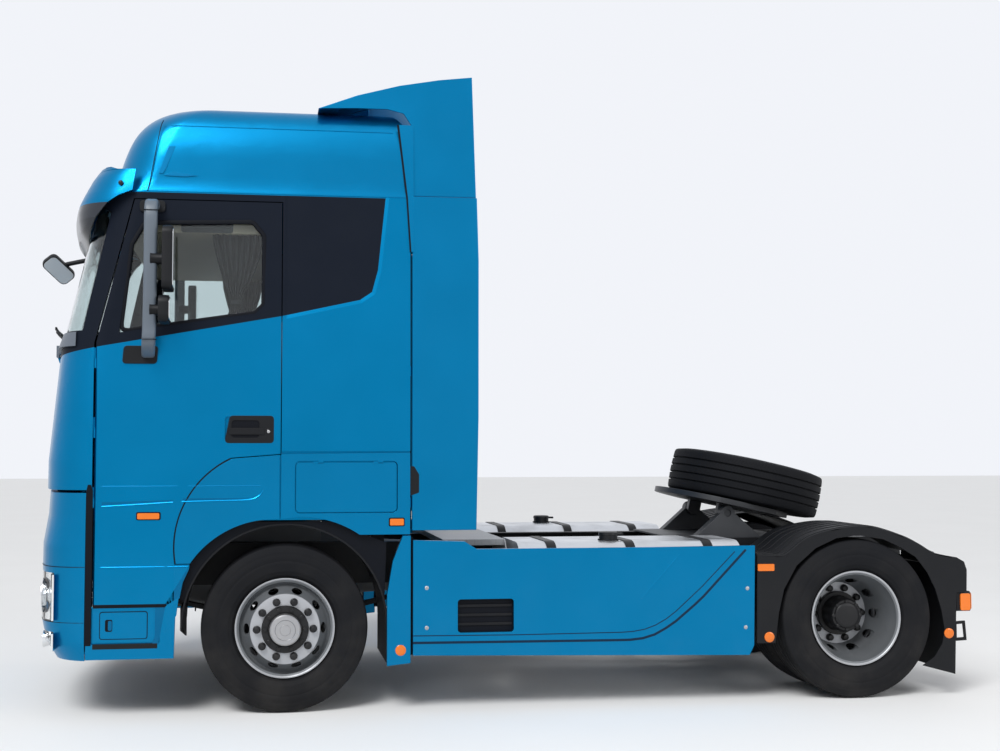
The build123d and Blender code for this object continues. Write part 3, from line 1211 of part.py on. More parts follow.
with BuildPart() as mudguards:
    with BuildSketch(side_plane(-620.0)):
        with Locations((0.0, LINER_Z)):
            Circle(LINER_R)
            Circle(LINER_R - LINER_T, mode=Mode.SUBTRACT)
            Rectangle(1400.0, 800.0, align=(Align.CENTER, Align.MAX), mode=Mode.SUBTRACT)
        with Locations((LINER_R, LINER_Z)):
            Rectangle(LINER_T, LINER_Z - 290.0, align=(Align.MAX, Align.MAX))
    extrude(amount=BODY_HALF - PANEL_T - 620.0)
    # Stays from the rails to the liners
    stay_x = math.sqrt((LINER_R + 10.0)**2 - STAY_RISE**2)
    with BuildSketch(side_plane(-RAIL_OUT)):
        with Locations((-stay_x, LINER_Z + STAY_RISE), (stay_x, LINER_Z + STAY_RISE)):
            Circle(16.0)
    extrude(amount=500.0)
    with BuildSketch(side_plane(-GUARD_IN)):
        with BuildLine() as guard_line:
            Polyline(*GUARD)
            offset(amount=GUARD_T, side=Side.RIGHT)
        make_face()
    extrude(amount=SKIRT_OUT - GUARD_IN)
    with BuildSketch(side_plane(-RAIL_OUT)):
        with Locations((WHEELBASE - 600.0, 915.0), (WHEELBASE + 580.0, 840.0)):
            Circle(16.0)
    extrude(amount=600.0)
    mirror(about=Plane.XZ)
mudguards.part.label = "mudguards"

# Tail lamps on the lamp bar
TAIL_LAMP_L = 430.0

with BuildPart() as tail_lamps:
    with BuildSketch(cross_plane(RAIL_REAR - 20.0)):
        with Locations((TAIL_LAMP_L / 2 + 15.0 - BODY_HALF, 605.0)):
            RectangleRounded(TAIL_LAMP_L, 130.0, 20.0)
    extrude(amount=80.0)
    mirror(about=Plane.XZ)
tail_lamps.part.label = "tail_lamps"

# Coupling: base plate with two pedestals, and the tilting plate with its throat
PEDESTAL_IN = 340.0
PEDESTAL_OUT = 420.0
BASE_T = 14.0
COUPLING_PIN_R = 25.0

with BuildPart() as fifth_wheel_base:
    with BuildSketch(top_plane(RAIL_TOP)):
        with Locations((COUPLING_X, 0.0)):
            Rectangle(860.0, 2 * RAIL_OUT)
    extrude(amount=BASE_T)
    with BuildSketch(side_plane(-PEDESTAL_IN)):
        Polygon((COUPLING_X - 230.0, RAIL_TOP + BASE_T), (COUPLING_X + 230.0, RAIL_TOP + BASE_T),
                (COUPLING_X + 200.0, RAIL_TOP + BASE_T + 25.0), (COUPLING_X + 50.0, COUPLING_Z),
                (COUPLING_X - 50.0, COUPLING_Z), (COUPLING_X - 200.0, RAIL_TOP + BASE_T + 25.0), align=None)
        with Locations((COUPLING_X, COUPLING_Z)):
            Circle(50.0)
            Circle(COUPLING_PIN_R + 0.1, mode=Mode.SUBTRACT)
    extrude(amount=PEDESTAL_OUT - PEDESTAL_IN)
    mirror(about=Plane.XZ)
fifth_wheel_base.part.label = "fifth_wheel_base"

tilt = math.radians(COUPLING_TILT)


def coupling_plane(height):
    """Plane parallel to the coupling plate at a height above its pivot, sketched from the pivot."""
    return Plane(origin=(FRONT_AXLE_X + COUPLING_X + height * math.sin(tilt), 0.0,
                         COUPLING_Z + height * math.cos(tilt)),
                 x_dir=(math.cos(tilt), 0, -math.sin(tilt)), z_dir=(math.sin(tilt), 0, math.cos(tilt)))


PLATE_T = 36.0
PLATE_HALF = 490.0
THROAT_HALF = 90.0
KINGPIN_HOLE_R = 25.6

with BuildPart() as fifth_wheel_plate:
    with BuildSketch(coupling_plane(COUPLING_TOP - PLATE_T)):
        with BuildLine():
            Polyline((470.0, -150.0), (470.0, -PLATE_HALF + 180.0), (330.0, -PLATE_HALF + 40.0),
                     (60.0, -PLATE_HALF), (-80.0, -PLATE_HALF))
            ThreePointArc((-80.0, -PLATE_HALF), (-390.0, 0.0), (-80.0, PLATE_HALF))
            Polyline((-80.0, PLATE_HALF), (60.0, PLATE_HALF), (330.0, PLATE_HALF - 40.0),
                     (470.0, PLATE_HALF - 180.0), (470.0, 150.0), (90.0, KINGPIN_HOLE_R), (0.0, KINGPIN_HOLE_R))
            ThreePointArc((0.0, KINGPIN_HOLE_R), (-KINGPIN_HOLE_R, 0.0), (0.0, -KINGPIN_HOLE_R))
            Polyline((0.0, -KINGPIN_HOLE_R), (90.0, -KINGPIN_HOLE_R), (470.0, -150.0))
        make_face()
    extrude(amount=PLATE_T)
    # Pivot lugs inside the pedestals, and the cross pins
    with BuildSketch(side_plane(-PEDESTAL_IN + 5.3 + 50.0)):
        with Locations((COUPLING_X, COUPLING_Z)):
            Circle(46.0)
            Rectangle(92.0, COUPLING_TOP - PLATE_T + 12.0, rotation=-COUPLING_TILT, align=(Align.CENTER, Align.MIN))
    extrude(amount=50.0)
    with BuildSketch(side_plane(-PEDESTAL_IN + 40.0)):
        with Locations((COUPLING_X, COUPLING_Z)):
            Circle(COUPLING_PIN_R)
    extrude(amount=PEDESTAL_OUT - PEDESTAL_IN + 30.0)
    mirror(about=Plane.XZ)
fifth_wheel_plate.part.label = "fifth_wheel_plate"

# Wheels: one rim form for all, its disc out in front and the discs meeting at the rear
HAND_HOLES = 10
HAND_HOLE_R = 20.0
HAND_HOLE_CIRCLE = 228.0
HUB_FLANGE_R = 140.5
HUB_CAP_R = 92.0
BRAKE_R = 215.0
REAR_HUB_IN = 655.0

# Rim section: distance from the rim's middle towards its disc, radius
RIM_SECTION = (
    (-RIM_HALF, RIM_FLANGE_R - 8.0), (-RIM_HALF, RIM_FLANGE_R), (-RIM_HALF + 9.0, RIM_FLANGE_R),
    (-RIM_HALF + 15.0, BEAD_R), (-RIM_HALF + 48.0, BEAD_R - 6.0), (-30.0, 252.0), (40.0, 252.0),
    (RIM_HALF - 48.0, BEAD_R - 6.0), (RIM_HALF - 15.0, BEAD_R), (RIM_HALF - 9.0, RIM_FLANGE_R),
    (RIM_HALF, RIM_FLANGE_R), (RIM_HALF, RIM_FLANGE_R - 8.0), (RIM_HALF - 8.0, BEAD_R - 12.0),
    (RIM_HALF - 45.0, 266.0), (RIM_OUTSET - 30.0, 222.0), (RIM_OUTSET, 205.0), (RIM_OUTSET, BORE_R - 8.0),
    (RIM_OUTSET - DISC_T, BORE_R - 8.0), (RIM_OUTSET - DISC_T, 200.0), (RIM_OUTSET - 40.0, 214.0),
    (45.0, 240.0), (-34.0, 240.0), (-RIM_HALF + 46.0, BEAD_R - 20.0), (-RIM_HALF + 6.0, BEAD_R - 12.0))

# Tyre section, one half: distance from the middle, radius
TYRE_SECTION = (
    (0.0, BEAD_R + 0.2), (RIM_HALF - 16.0, BEAD_R + 0.2), (RIM_HALF - 12.0, RIM_FLANGE_R + 6.0),
    (RIM_HALF + 5.0, RIM_FLANGE_R + 14.0), (TYRE_HALF - 6.0, 345.0), (TYRE_HALF, 395.0), (TYRE_HALF - 4.0, 440.0),
    (TREAD_HALF + 4.0, 484.0), (TREAD_HALF - 4.0, TYRE_R - 8.0), (TREAD_HALF - 20.0, TYRE_R - 3.0), (0.0, TYRE_R))


def wheel_plane(centre, face):
    """Plane through a wheel's axis, its sketch in distance along the axis towards the disc and radius."""
    return Plane(origin=centre, x_dir=(0, face, 0), z_dir=(face, 0, 0))


def rim_solid(centre, face):
    """Rim with hand holes about a cross axis, its disc on the side of face, -1 to the left."""
    with BuildPart() as rim:
        with BuildSketch(wheel_plane(centre, face)):
            Polygon(*RIM_SECTION, align=None)
        revolve(axis=Axis(centre, (0, 1, 0)))
        with BuildSketch(Plane(origin=centre + Vector(0, 60.0 * face, 0), x_dir=(1, 0, 0), z_dir=(0, face, 0))):
            with PolarLocations(HAND_HOLE_CIRCLE, HAND_HOLES):
                Circle(HAND_HOLE_R)
        extrude(amount=100.0, mode=Mode.SUBTRACT)
    return rim.part


def tyre_solid(centre, outer_r):
    """Tyre about a cross axis, its bead on the rim's seat and its tread at an outer radius."""
    growth = (outer_r - BEAD_R) / (TYRE_R - BEAD_R)
    half = [(along, radius if radius < RIM_FLANGE_R + 20.0 else BEAD_R + (radius - BEAD_R) * growth)
            for along, radius in TYRE_SECTION]
    with BuildPart() as tyre:
        with BuildSketch(wheel_plane(centre, 1)):
            Polygon(*half, *[(-along, radius) for along, radius in reversed(half[1:-1])], align=None)
        revolve(axis=Axis(centre, (0, 1, 0)))
    return tyre.part


def turned(plane_y, depth, radius, centre_x):
    """Disc of a hub on the left, from one y outwards."""
    with BuildPart() as disc:
        with BuildSketch(Plane(origin=(FRONT_AXLE_X + centre_x, plane_y, TYRE_R), x_dir=(1, 0, 0),
                               z_dir=(0, -1, 0))):
            Circle(radius)
        extrude(amount=depth)
    return disc.part


front_centre = Vector(FRONT_AXLE_X, -FRONT_WHEEL_Y, TYRE_R)
outer_centre = Vector(FRONT_AXLE_X + WHEELBASE, -REAR_OUTER_Y, TYRE_R)
inner_centre = Vector(FRONT_AXLE_X + WHEELBASE, -REAR_OUTER_Y + DUAL_SPACING, TYRE_R)
front_face = FRONT_WHEEL_Y + RIM_OUTSET
rear_face = REAR_OUTER_Y - RIM_OUTSET

# Front hub: from one |y| to another, radius
FRONT_HUB = ((HUB_IN, HUB_IN + 45.0, BRAKE_R), (HUB_IN, front_face - 12.0, 78.0),
             (front_face - 30.0, front_face - DISC_T, 172.0), (front_face - DISC_T, front_face + 14.0, HUB_FLANGE_R),
             (front_face + 14.0, front_face + 62.0, HUB_CAP_R))
REAR_HUB = ((REAR_HUB_IN, REAR_HUB_IN + 45.0, BRAKE_R), (REAR_HUB_IN, rear_face - DISC_T, 120.0),
            (rear_face - DISC_T - 20.0, rear_face + 40.0, HUB_FLANGE_R),
            (rear_face + 40.0, REAR_OUTER_Y - 10.0, 112.0), (REAR_OUTER_Y - 10.0, REAR_OUTER_Y + 8.0, 80.0))

with BuildPart() as front_wheel_left:
    add(rim_solid(front_centre, -1))
    for near, far, radius in FRONT_HUB:
        add(turned(-near, far - near, radius, 0.0))
    add(turned(-HUB_IN, KINGPIN_Y + 60.0 + 240.0 + 2.0 - HUB_IN, SPINDLE_R + 0.1, 0.0), mode=Mode.SUBTRACT)
front_wheel_left.part.label = "front_wheel_left"

with BuildPart() as front_tyre_left:
    add(tyre_solid(front_centre, TYRE_R))
front_tyre_left.part.label = "front_tyre_left"

with BuildPart() as rear_wheels_left:
    add(rim_solid(outer_centre, 1))
    add(rim_solid(inner_centre, -1))
    for near, far, radius in REAR_HUB:
        add(turned(-near, far - near, radius, WHEELBASE))
    add(turned(-REAR_HUB_IN, REAR_OUTER_Y - 58.0 - REAR_HUB_IN, REAR_SPINDLE_R + 0.1, WHEELBASE), mode=Mode.SUBTRACT)
rear_wheels_left.part.label = "rear_wheels_left"

with BuildPart() as rear_tyres_left:
    add(tyre_solid(outer_centre, TYRE_R))
    add(tyre_solid(inner_centre, TYRE_R))
rear_tyres_left.part.label = "rear_tyres_left"

with BuildPart() as front_wheel_right:
    mirror(front_wheel_left.part, about=Plane.XZ)
front_wheel_right.part.label = "front_wheel_right"

with BuildPart() as front_tyre_right:
    mirror(front_tyre_left.part, about=Plane.XZ)
front_tyre_right.part.label = "front_tyre_right"

with BuildPart() as rear_wheels_right:
    mirror(rear_wheels_left.part, about=Plane.XZ)
rear_wheels_right.part.label = "rear_wheels_right"

with BuildPart() as rear_tyres_right:
    mirror(rear_tyres_left.part, about=Plane.XZ)
rear_tyres_right.part.label = "rear_tyres_right"

# Spare wheel lying on the coupling plate, its disc up, with a higher tyre than the others
SPARE_R = 538.0
SPARE_BACK = 232.0

with BuildPart() as spare_form:
    add(tyre_solid(Vector(0, 0, 0), SPARE_R))

with BuildPart() as spare_rim_form:
    add(rim_solid(Vector(0, 0, 0), 1))

coupling_up = Vector(math.sin(tilt), 0, math.cos(tilt))
coupling_back = Vector(math.cos(tilt), 0, -math.sin(tilt))
spare_place = Plane(origin=Vector(FRONT_AXLE_X + COUPLING_X, 0.0, COUPLING_Z)
                    + coupling_up * (COUPLING_TOP + TYRE_HALF) + coupling_back * SPARE_BACK,
                    x_dir=coupling_back, z_dir=(0, -1, 0))

with BuildPart() as spare_tyre:
    add(spare_place.from_local_coords(spare_form.part))
spare_tyre.part.label = "spare_tyre"

with BuildPart() as spare_rim:
    add(spare_place.from_local_coords(spare_rim_form.part))
spare_rim.part.label = "spare_rim"

pieces = (
    cab_shell, high_roof, windscreen, cowl, bumper, headlamps, side_panels, steps, sun_visor, roof_deflector,
    side_fairings, seats, bunk, dashboard, overhead_console, curtains, front_mirror, front_flap,
    door_left, door_right, door_glass_left, door_glass_right, mirror_left, mirror_right,
    locker_lid_left, locker_lid_right, frame, front_axle, suspension, rear_axle, engine, gearbox, driveshaft,
    fuel_tanks, tank_brackets, side_skirts, fender_strips, deck, mudguards, tail_lamps,
    fifth_wheel_base, fifth_wheel_plate, spare_tyre, spare_rim, knuckle_left, knuckle_right, tie_rod,
    front_wheel_left, front_wheel_right, front_tyre_left, front_tyre_right,
    rear_wheels_left, rear_wheels_right, rear_tyres_left, rear_tyres_right)

os.makedirs("parts", exist_ok=True)
for piece in pieces:
    export_step(piece.part, "parts/" + piece.part.label + ".step")
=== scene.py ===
"""Looks of the semi truck tractor unit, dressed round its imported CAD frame.

+X runs to the truck's rear, +Y to its right side and +Z up from the road. Tables of points are written in mm
behind the front axle, mm to the right and mm above the road; point() turns them into the frame's metres. Only
the left half is drawn: pair() and both() mirror it.
"""

import logging
import math
from dataclasses import dataclass
from enum import Enum
from typing import Sequence

import bmesh
import bpy
from mathutils import Matrix, Vector


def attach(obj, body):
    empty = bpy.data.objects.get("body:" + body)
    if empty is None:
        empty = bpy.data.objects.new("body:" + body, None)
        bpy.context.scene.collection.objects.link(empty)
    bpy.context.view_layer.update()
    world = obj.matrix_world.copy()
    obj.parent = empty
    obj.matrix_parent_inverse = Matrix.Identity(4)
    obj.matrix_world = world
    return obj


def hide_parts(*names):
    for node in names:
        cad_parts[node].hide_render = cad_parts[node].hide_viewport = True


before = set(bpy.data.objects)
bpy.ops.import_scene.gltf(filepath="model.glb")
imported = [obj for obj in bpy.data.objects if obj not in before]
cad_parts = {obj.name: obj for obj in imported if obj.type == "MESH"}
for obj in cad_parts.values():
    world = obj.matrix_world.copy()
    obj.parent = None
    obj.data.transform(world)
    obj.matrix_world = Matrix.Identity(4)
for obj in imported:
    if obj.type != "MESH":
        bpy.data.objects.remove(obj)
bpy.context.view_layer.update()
LOG = logging.getLogger("tractor_unit")

FRONT_AXLE = -1.3245  # x of the front axle in the frame, in metres
WHEELBASE = 3600.0  # this and the next ones in mm, as the tables
AXLE_Z = 502.0  # height of the axles
CORNER_R = 280.0  # radius of the cab's front corners in plan
SKIN = -1247.0  # y of the skirt's outer face, which screws and lines stand on
LEFT = Vector((0, -1, 0))
RIGHT = Vector((0, 1, 0))
UP = Vector((0, 0, 1))

Pair = tuple[float, float]
Triple = tuple[float, float, float]
Line = Sequence[Pair]
Obj = bpy.types.Object
Node = bpy.types.Node
Socket = bpy.types.NodeSocket
Tree = bpy.types.NodeTree


class Body(str, Enum):
    """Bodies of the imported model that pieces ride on."""

    CHASSIS = "chassis"
    CAB = "cab"
    LEFT_DOOR = "left_door"
    RIGHT_DOOR = "right_door"
    FLAP = "flap"
    LEFT_LID = "left_lid"
    RIGHT_LID = "right_lid"
    COUPLING = "coupling"
    LEFT_KNUCKLE = "left_knuckle"
    RIGHT_KNUCKLE = "right_knuckle"
    TRACK_ROD = "track_rod"
    FRONT_LEFT = "front_left_wheel"
    FRONT_RIGHT = "front_right_wheel"
    REAR_LEFT = "rear_left_wheels"
    REAR_RIGHT = "rear_right_wheels"


DOORS = (Body.LEFT_DOOR, Body.RIGHT_DOOR)


def point(x: float, y: float, z: float) -> Vector:
    """Point of the frame in metres, from mm behind the front axle, to the right and above the road."""
    return Vector((FRONT_AXLE + x / 1000, y / 1000, z / 1000))


# ---- Materials


class Nodes:
    """Short hand for adding and linking the nodes of one tree."""

    def __init__(self, tree: Tree) -> None:
        """Keep the tree that nodes are added to."""
        self.tree = tree

    def give(self, socket: Socket, value: object) -> None:
        """Link a socket to an input, or set the input to a value."""
        if isinstance(value, Socket):
            self.tree.links.new(value, socket)
        else:
            socket.default_value = value

    def fill(self, node: Node, **values: object) -> Node:
        """Give inputs by name, with _ for a space."""
        for name, value in values.items():
            self.give(node.inputs[name.replace("_", " ")], value)
        return node

    def add(self, kind: str, **settings: object) -> Node:
        """Add a node.

        Args:
            kind: Node type, such as ShaderNodeMath.
            settings: Properties of the node by name, and inputs as in_<index>.

        Returns:
            The new node.
        """
        node = self.tree.nodes.new(kind)
        for key, value in settings.items():
            if not key.startswith("in_"):
                setattr(node, key, value)
        for key, value in settings.items():
            if key.startswith("in_"):
                self.give(node.inputs[int(key[3:])], value)
        return node

    def math(self, operation: str, first: object, second: object = 0.0, third: object = 0.0) -> Socket:
        """Result of a math node on sockets or numbers."""
        return self.add("ShaderNodeMath", operation=operation, in_0=first, in_1=second, in_2=third).outputs[0]

    def times(self, first: object, second: object) -> Socket:
        """Product of two values."""
        return self.math("MULTIPLY", first, second)

    def mix(self, factor: object, first: object, second: object) -> Socket:
        """Colour between two, by a factor."""
        node = self.add("ShaderNodeMix", data_type="RGBA")
        for name, value in (("Factor_Float", factor), ("A_Color", first), ("B_Color", second)):
            self.give(next(s for s in node.inputs if s.identifier == name), value)
        return next(s for s in node.outputs if s.identifier == "Result_Color")

    def ramp(self, value: Socket, low: float, high: float, to_low: float = 0.0, to_high: float = 1.0) -> Socket:
        """Value mapped smoothly from one range to another, clamped."""
        return self.add("ShaderNodeMapRange", interpolation_type="SMOOTHSTEP", in_0=value, in_1=low, in_2=high,
                        in_3=to_low, in_4=to_high).outputs[0]

    def noise(self, vector: object, scale: object, detail: float = 3.0) -> Socket:
        """Noise value at a vector."""
        return self.fill(self.add("ShaderNodeTexNoise", in_2=scale, in_3=detail), Vector=vector).outputs[0]

    def place(self) -> Socket:
        """Object coordinates."""
        return self.add("ShaderNodeTexCoord").outputs["Object"]

    def split(self, vector: Socket) -> Sequence[Socket]:
        """The three parts of a vector."""
        return self.add("ShaderNodeSeparateXYZ", in_0=vector).outputs

    def scaled(self, scale: Triple, turn: float = 0.0) -> Socket:
        """Object coordinates scaled, and turned about Z."""
        return self.add("ShaderNodeMapping", in_0=self.place(), in_2=(0.0, 0.0, turn), in_3=scale).outputs[0]

    def bump(self, height: object, strength: object, distance: float) -> Socket:
        """Normal from a height."""
        return self.fill(self.add("ShaderNodeBump"), Strength=strength, Distance=distance, Height=height).outputs[0]


def new_group(name: str, inputs: Sequence[tuple[str, str, object]], outputs: Sequence[tuple[str, str]]
              ) -> tuple[Tree, Nodes, Sequence[Socket], Node]:
    """Start a shader node group.

    Args:
        name: Name of the group.
        inputs: Name, kind (Float, Color or Vector) and default of each input.
        outputs: Name and kind of each output.

    Returns:
        The group, its node helper, what it is given and its output node.
    """
    tree = bpy.data.node_groups.new(name, "ShaderNodeTree")
    for label, kind, default in inputs:
        tree.interface.new_socket(label, in_out="INPUT", socket_type="NodeSocket" + kind).default_value = default
    for label, kind in outputs:
        tree.interface.new_socket(label, in_out="OUTPUT", socket_type="NodeSocket" + kind)
    nodes = Nodes(tree)
    return tree, nodes, nodes.add("NodeGroupInput").outputs, nodes.add("NodeGroupOutput")


class Effects:
    """Shader groups for what several finishes share: colour wander, road dust, moulded grain and brushed lines.

    Attributes:
        belt: Lines under the dark window band: a point's x and z, and the slope of z over x.
    """

    belt: tuple[Triple, ...] = ((-0.026, 2.373, 0.1818), (-0.026, 2.373, 0.2246), (0.437, 2.477, 0.685),
                                (0.510, 2.527, 3.75))

    def __init__(self) -> None:
        """Build each group once."""
        self.wander = self._wander()
        self.dust = self._dust()
        self.grain = self._grain()
        self.brushed = self._brushed()
        self.band = self._band()

    def _wander(self) -> Tree:
        """Slow change of a colour and a roughness over the surface."""
        tree, n, given, put = new_group(
            "colour_wander", (("Colour", "Color", (0.5, 0.5, 0.5, 1)), ("Amount", "Float", 0.1),
                              ("Scale", "Float", 3.0), ("Roughness", "Float", 0.4)),
            (("Colour", "Color"), ("Roughness", "Float")))
        cloud = n.noise(n.place(), given["Scale"], 4.0)
        swing = n.times(n.math("SUBTRACT", cloud, 0.5), given["Amount"])
        tone = n.add("ShaderNodeHueSaturation", in_2=n.math("ADD", n.times(swing, 2.0), 1.0), in_4=given["Colour"])
        n.fill(put, Colour=tone.outputs[0], Roughness=n.math("ADD", given["Roughness"], swing))
        return tree

    def _dust(self) -> Tree:
        """Road dust that thickens towards the ground and in patches."""
        tree, n, given, put = new_group(
            "road_dust", (("Colour", "Color", (0.5, 0.5, 0.5, 1)), ("Dust", "Color", (0.30, 0.27, 0.23, 1)),
                          ("Amount", "Float", 0.3), ("Top", "Float", 1.2)),
            (("Colour", "Color"), ("Mask", "Float")))
        place = n.place()
        fall = n.math("MAXIMUM", n.math("SUBTRACT", 1.0, n.math("DIVIDE", n.split(place)[2], given["Top"])), 0.12)
        patch = n.ramp(n.noise(place, 6.0, 6.0), 0.35, 0.75, 0.25, 1.0)
        mask = n.math("MINIMUM", n.times(n.times(fall, patch), given["Amount"]), 0.9)
        n.fill(put, Colour=n.mix(mask, given["Colour"], given["Dust"]), Mask=mask)
        return tree

    def _grain(self) -> Tree:
        """Fine grain as a normal: leathery cells of moulded plastic, or the skin of a casting."""
        tree, n, given, put = new_group(
            "surface_grain", (("Scale", "Float", 700.0), ("Strength", "Float", 0.2)), (("Normal", "Vector"),))
        cells = n.fill(n.add("ShaderNodeTexVoronoi", in_2=given["Scale"]), Vector=n.place())
        n.fill(put, Normal=n.bump(cells.outputs[0], given["Strength"], 0.0006))
        return tree

    def _brushed(self) -> Tree:
        """Fine lines along X, for brushed and rolled metal."""
        tree, n, given, put = new_group(
            "brushed_lines", (("Colour", "Color", (0.6, 0.6, 0.6, 1)), ("Strength", "Float", 0.2)),
            (("Colour", "Color"), ("Roughness", "Float")))
        lines = n.noise(n.scaled((2.0, 160.0, 160.0)), 3.0, 5.0)
        smudge = n.times(n.ramp(n.noise(n.place(), 5.0, 5.0), 0.4, 0.7), 0.25)
        shade = n.math("ADD", 1.0, n.times(n.math("SUBTRACT", lines, 0.5), given["Strength"]))
        tone = n.add("ShaderNodeHueSaturation", in_2=shade, in_4=given["Colour"]).outputs[0]
        n.fill(put, Colour=n.mix(smudge, tone, (0.32, 0.31, 0.29, 1)), Roughness=n.math("ADD", 0.28, smudge))
        return tree

    def _band(self) -> Tree:
        """Dark band round the windows: a mask, and the height of the bevel along its edge."""
        tree, n, given, put = new_group("window_band", (("Bevel", "Float", 0.022),),
                                        (("Mask", "Float"), ("Height", "Float")))
        along, _, z = n.split(n.place())
        x = n.math("SUBTRACT", along, FRONT_AXLE)
        reach = n.math("SUBTRACT", 3.105, z)
        for line_x, line_z, slope in self.belt:
            level = n.math("MULTIPLY_ADD", n.math("SUBTRACT", x, line_x), slope, line_z)
            above = n.math("DIVIDE", n.math("SUBTRACT", z, level), math.sqrt(1 + slope * slope))
            reach = n.math("MINIMUM", reach, above)
        rear = n.math("MULTIPLY_ADD", n.math("SUBTRACT", z, 2.662), 0.105, 0.546)
        reach = n.math("MINIMUM", reach, n.math("SUBTRACT", rear, x))
        edge = n.add("ShaderNodeMapRange", in_0=reach, in_1=n.times(given["Bevel"], -1.0), in_2=0.0, in_3=0.0,
                     in_4=-1.0)
        n.fill(put, Mask=n.ramp(reach, -0.0008, 0.0008), Height=n.times(edge.outputs[0], n.ramp(x, -0.02, 0.0)))
        return tree


EFFECTS = Effects()


@dataclass(frozen=True)
class Finish:
    """A finish with one base colour, its wander, dust and grain.

    Attributes:
        name: Name of the material.
        slot: Material slot of the record; not used.
        colour: Linear base colour.
        roughness: Mean roughness.
        metallic: Metallic share.
        coat: Weight of a clear coat.
        wander: How far colour and roughness wander.
        dust: Amount of road dust.
        grain: Strength of the grain.
        grain_scale: Cells of grain per metre.
        specular: Specular level.
    """

    name: str
    slot: str
    colour: Triple
    roughness: float = 0.5
    metallic: float = 0.0
    coat: float = 0.0
    wander: float = 0.12
    dust: float = 0.15
    grain: float = 0.0
    grain_scale: float = 700.0
    specular: float = 0.5

    def material(self) -> bpy.types.Material:
        """The finish's material, made on first use."""
        label = self.name + "_finish"
        made = bpy.data.materials.get(label)
        if made is None:
            made = bpy.data.materials.new(label)
            made.use_nodes = True
            made.node_tree.nodes.clear()
            made.diffuse_color = (*self.colour, 1)
            n = Nodes(made.node_tree)
            seen = self.surface(n, n.add("ShaderNodeBsdfPrincipled"))
            n.fill(n.add("ShaderNodeOutputMaterial"), Surface=seen)
        return made

    def effect(self, n: Nodes, tree: Tree, **values: object) -> Sequence[Socket]:
        """Place a shared effect with its own values, and give its outputs."""
        return n.fill(n.add("ShaderNodeGroup", node_tree=tree), **values).outputs

    def worn(self, n: Nodes, colour: object) -> tuple[Socket, Socket, Socket]:
        """Colour and roughness with their wander, the colour under dust, and the dust's mask."""
        wander = self.effect(n, EFFECTS.wander, Colour=colour, Amount=self.wander, Roughness=self.roughness)
        dust = self.effect(n, EFFECTS.dust, Colour=wander["Colour"], Amount=self.dust)
        return dust["Colour"], wander["Roughness"], dust["Mask"]

    def tint(self, n: Nodes) -> object:
        """Base colour, as a value or a socket; other finishes paint patterns here."""
        return (*self.colour, 1)

    def relief(self, n: Nodes) -> Socket | None:
        """Normal of a relief, if the finish has one: here the shared grain."""
        return self.effect(n, EFFECTS.grain, Scale=self.grain_scale, Strength=self.grain)[0] if self.grain else None

    def surface(self, n: Nodes, shader: Node) -> Socket:
        """Wire the shader and give back what goes to the material's output."""
        colour, rough, mask = self.worn(n, self.tint(n))
        n.fill(shader, Base_Color=colour, Roughness=n.math("ADD", rough, n.times(mask, 0.35)),
               Metallic=self.metallic, Specular_IOR_Level=self.specular, Coat_Weight=self.coat, Coat_Roughness=0.04)
        normal = self.relief(n)
        if normal is not None:
            n.fill(shader, Normal=normal)
        return shader.outputs[0]


@dataclass(frozen=True)
class BandedPaint(Finish):
    """Body paint with the dark band round the windows."""

    band: Triple = (0.0075, 0.0105, 0.018)

    def surface(self, n: Nodes, shader: Node) -> Socket:
        """Paint where the band's mask is 0, satin dark plastic where it is 1."""
        mask, height = self.effect(n, EFFECTS.band)
        colour, rough, dust = self.worn(n, n.mix(mask, (*self.colour, 1), (*self.band, 1)))
        bare = n.math("SUBTRACT", 1.0, mask)
        rough = n.math("ADD", n.math("MULTIPLY_ADD", mask, 0.22, rough), n.times(dust, 0.3))
        n.fill(shader, Base_Color=colour, Roughness=rough, Metallic=n.times(bare, self.metallic),
               Coat_Weight=n.times(bare, self.coat), Coat_Roughness=0.04, Normal=n.bump(height, 1.0, 0.003),
               Specular_IOR_Level=n.math("MULTIPLY_ADD", mask, 0.05 - self.specular, self.specular))
        return shader.outputs[0]


@dataclass(frozen=True)
class Glass(Finish):
    """Tinted glass or a clear lens that lets daylight through."""

    def surface(self, n: Nodes, shader: Node) -> Socket:
        """Clear transmission, with plain see-through for shadow rays and faint smears in the gloss."""
        colour, rough = self.effect(n, EFFECTS.wander, Colour=(*self.colour, 1), Amount=0.05,
                                    Roughness=self.roughness)
        n.fill(shader, Base_Color=colour, Roughness=rough, Transmission_Weight=1.0, IOR=1.45)
        clear = n.add("ShaderNodeBsdfTransparent", in_0=(*[0.5 + 0.5 * c for c in self.colour], 1))
        shadow = n.add("ShaderNodeLightPath").outputs["Is Shadow Ray"]
        return n.add("ShaderNodeMixShader", in_0=shadow, in_1=shader.outputs[0], in_2=clear.outputs[0]).outputs[0]


@dataclass(frozen=True)
class Rubber(Finish):
    """Tyre rubber, with cuts across the tread read from the piece's own UV map."""

    def relief(self, n: Nodes) -> Socket:
        """Thin slanted cuts in the tread ribs, and fine moulding lines on the sidewall."""
        round_way, along, _ = n.split(n.add("ShaderNodeUVMap", uv_map="wheel").outputs[0])
        slant = n.math("MULTIPLY_ADD", n.math("PINGPONG", along, 0.02), 0.25, round_way)
        cut = n.math("LESS_THAN", n.math("FRACT", n.times(slant, 150.0)), 0.13)
        tread = n.math("LESS_THAN", n.math("ABSOLUTE", along), 0.128)
        speck = n.times(n.noise(n.place(), 220.0, 4.0), 0.12)
        return n.bump(n.math("ADD", n.times(n.times(cut, tread), -0.5), speck), 0.8, 0.004)


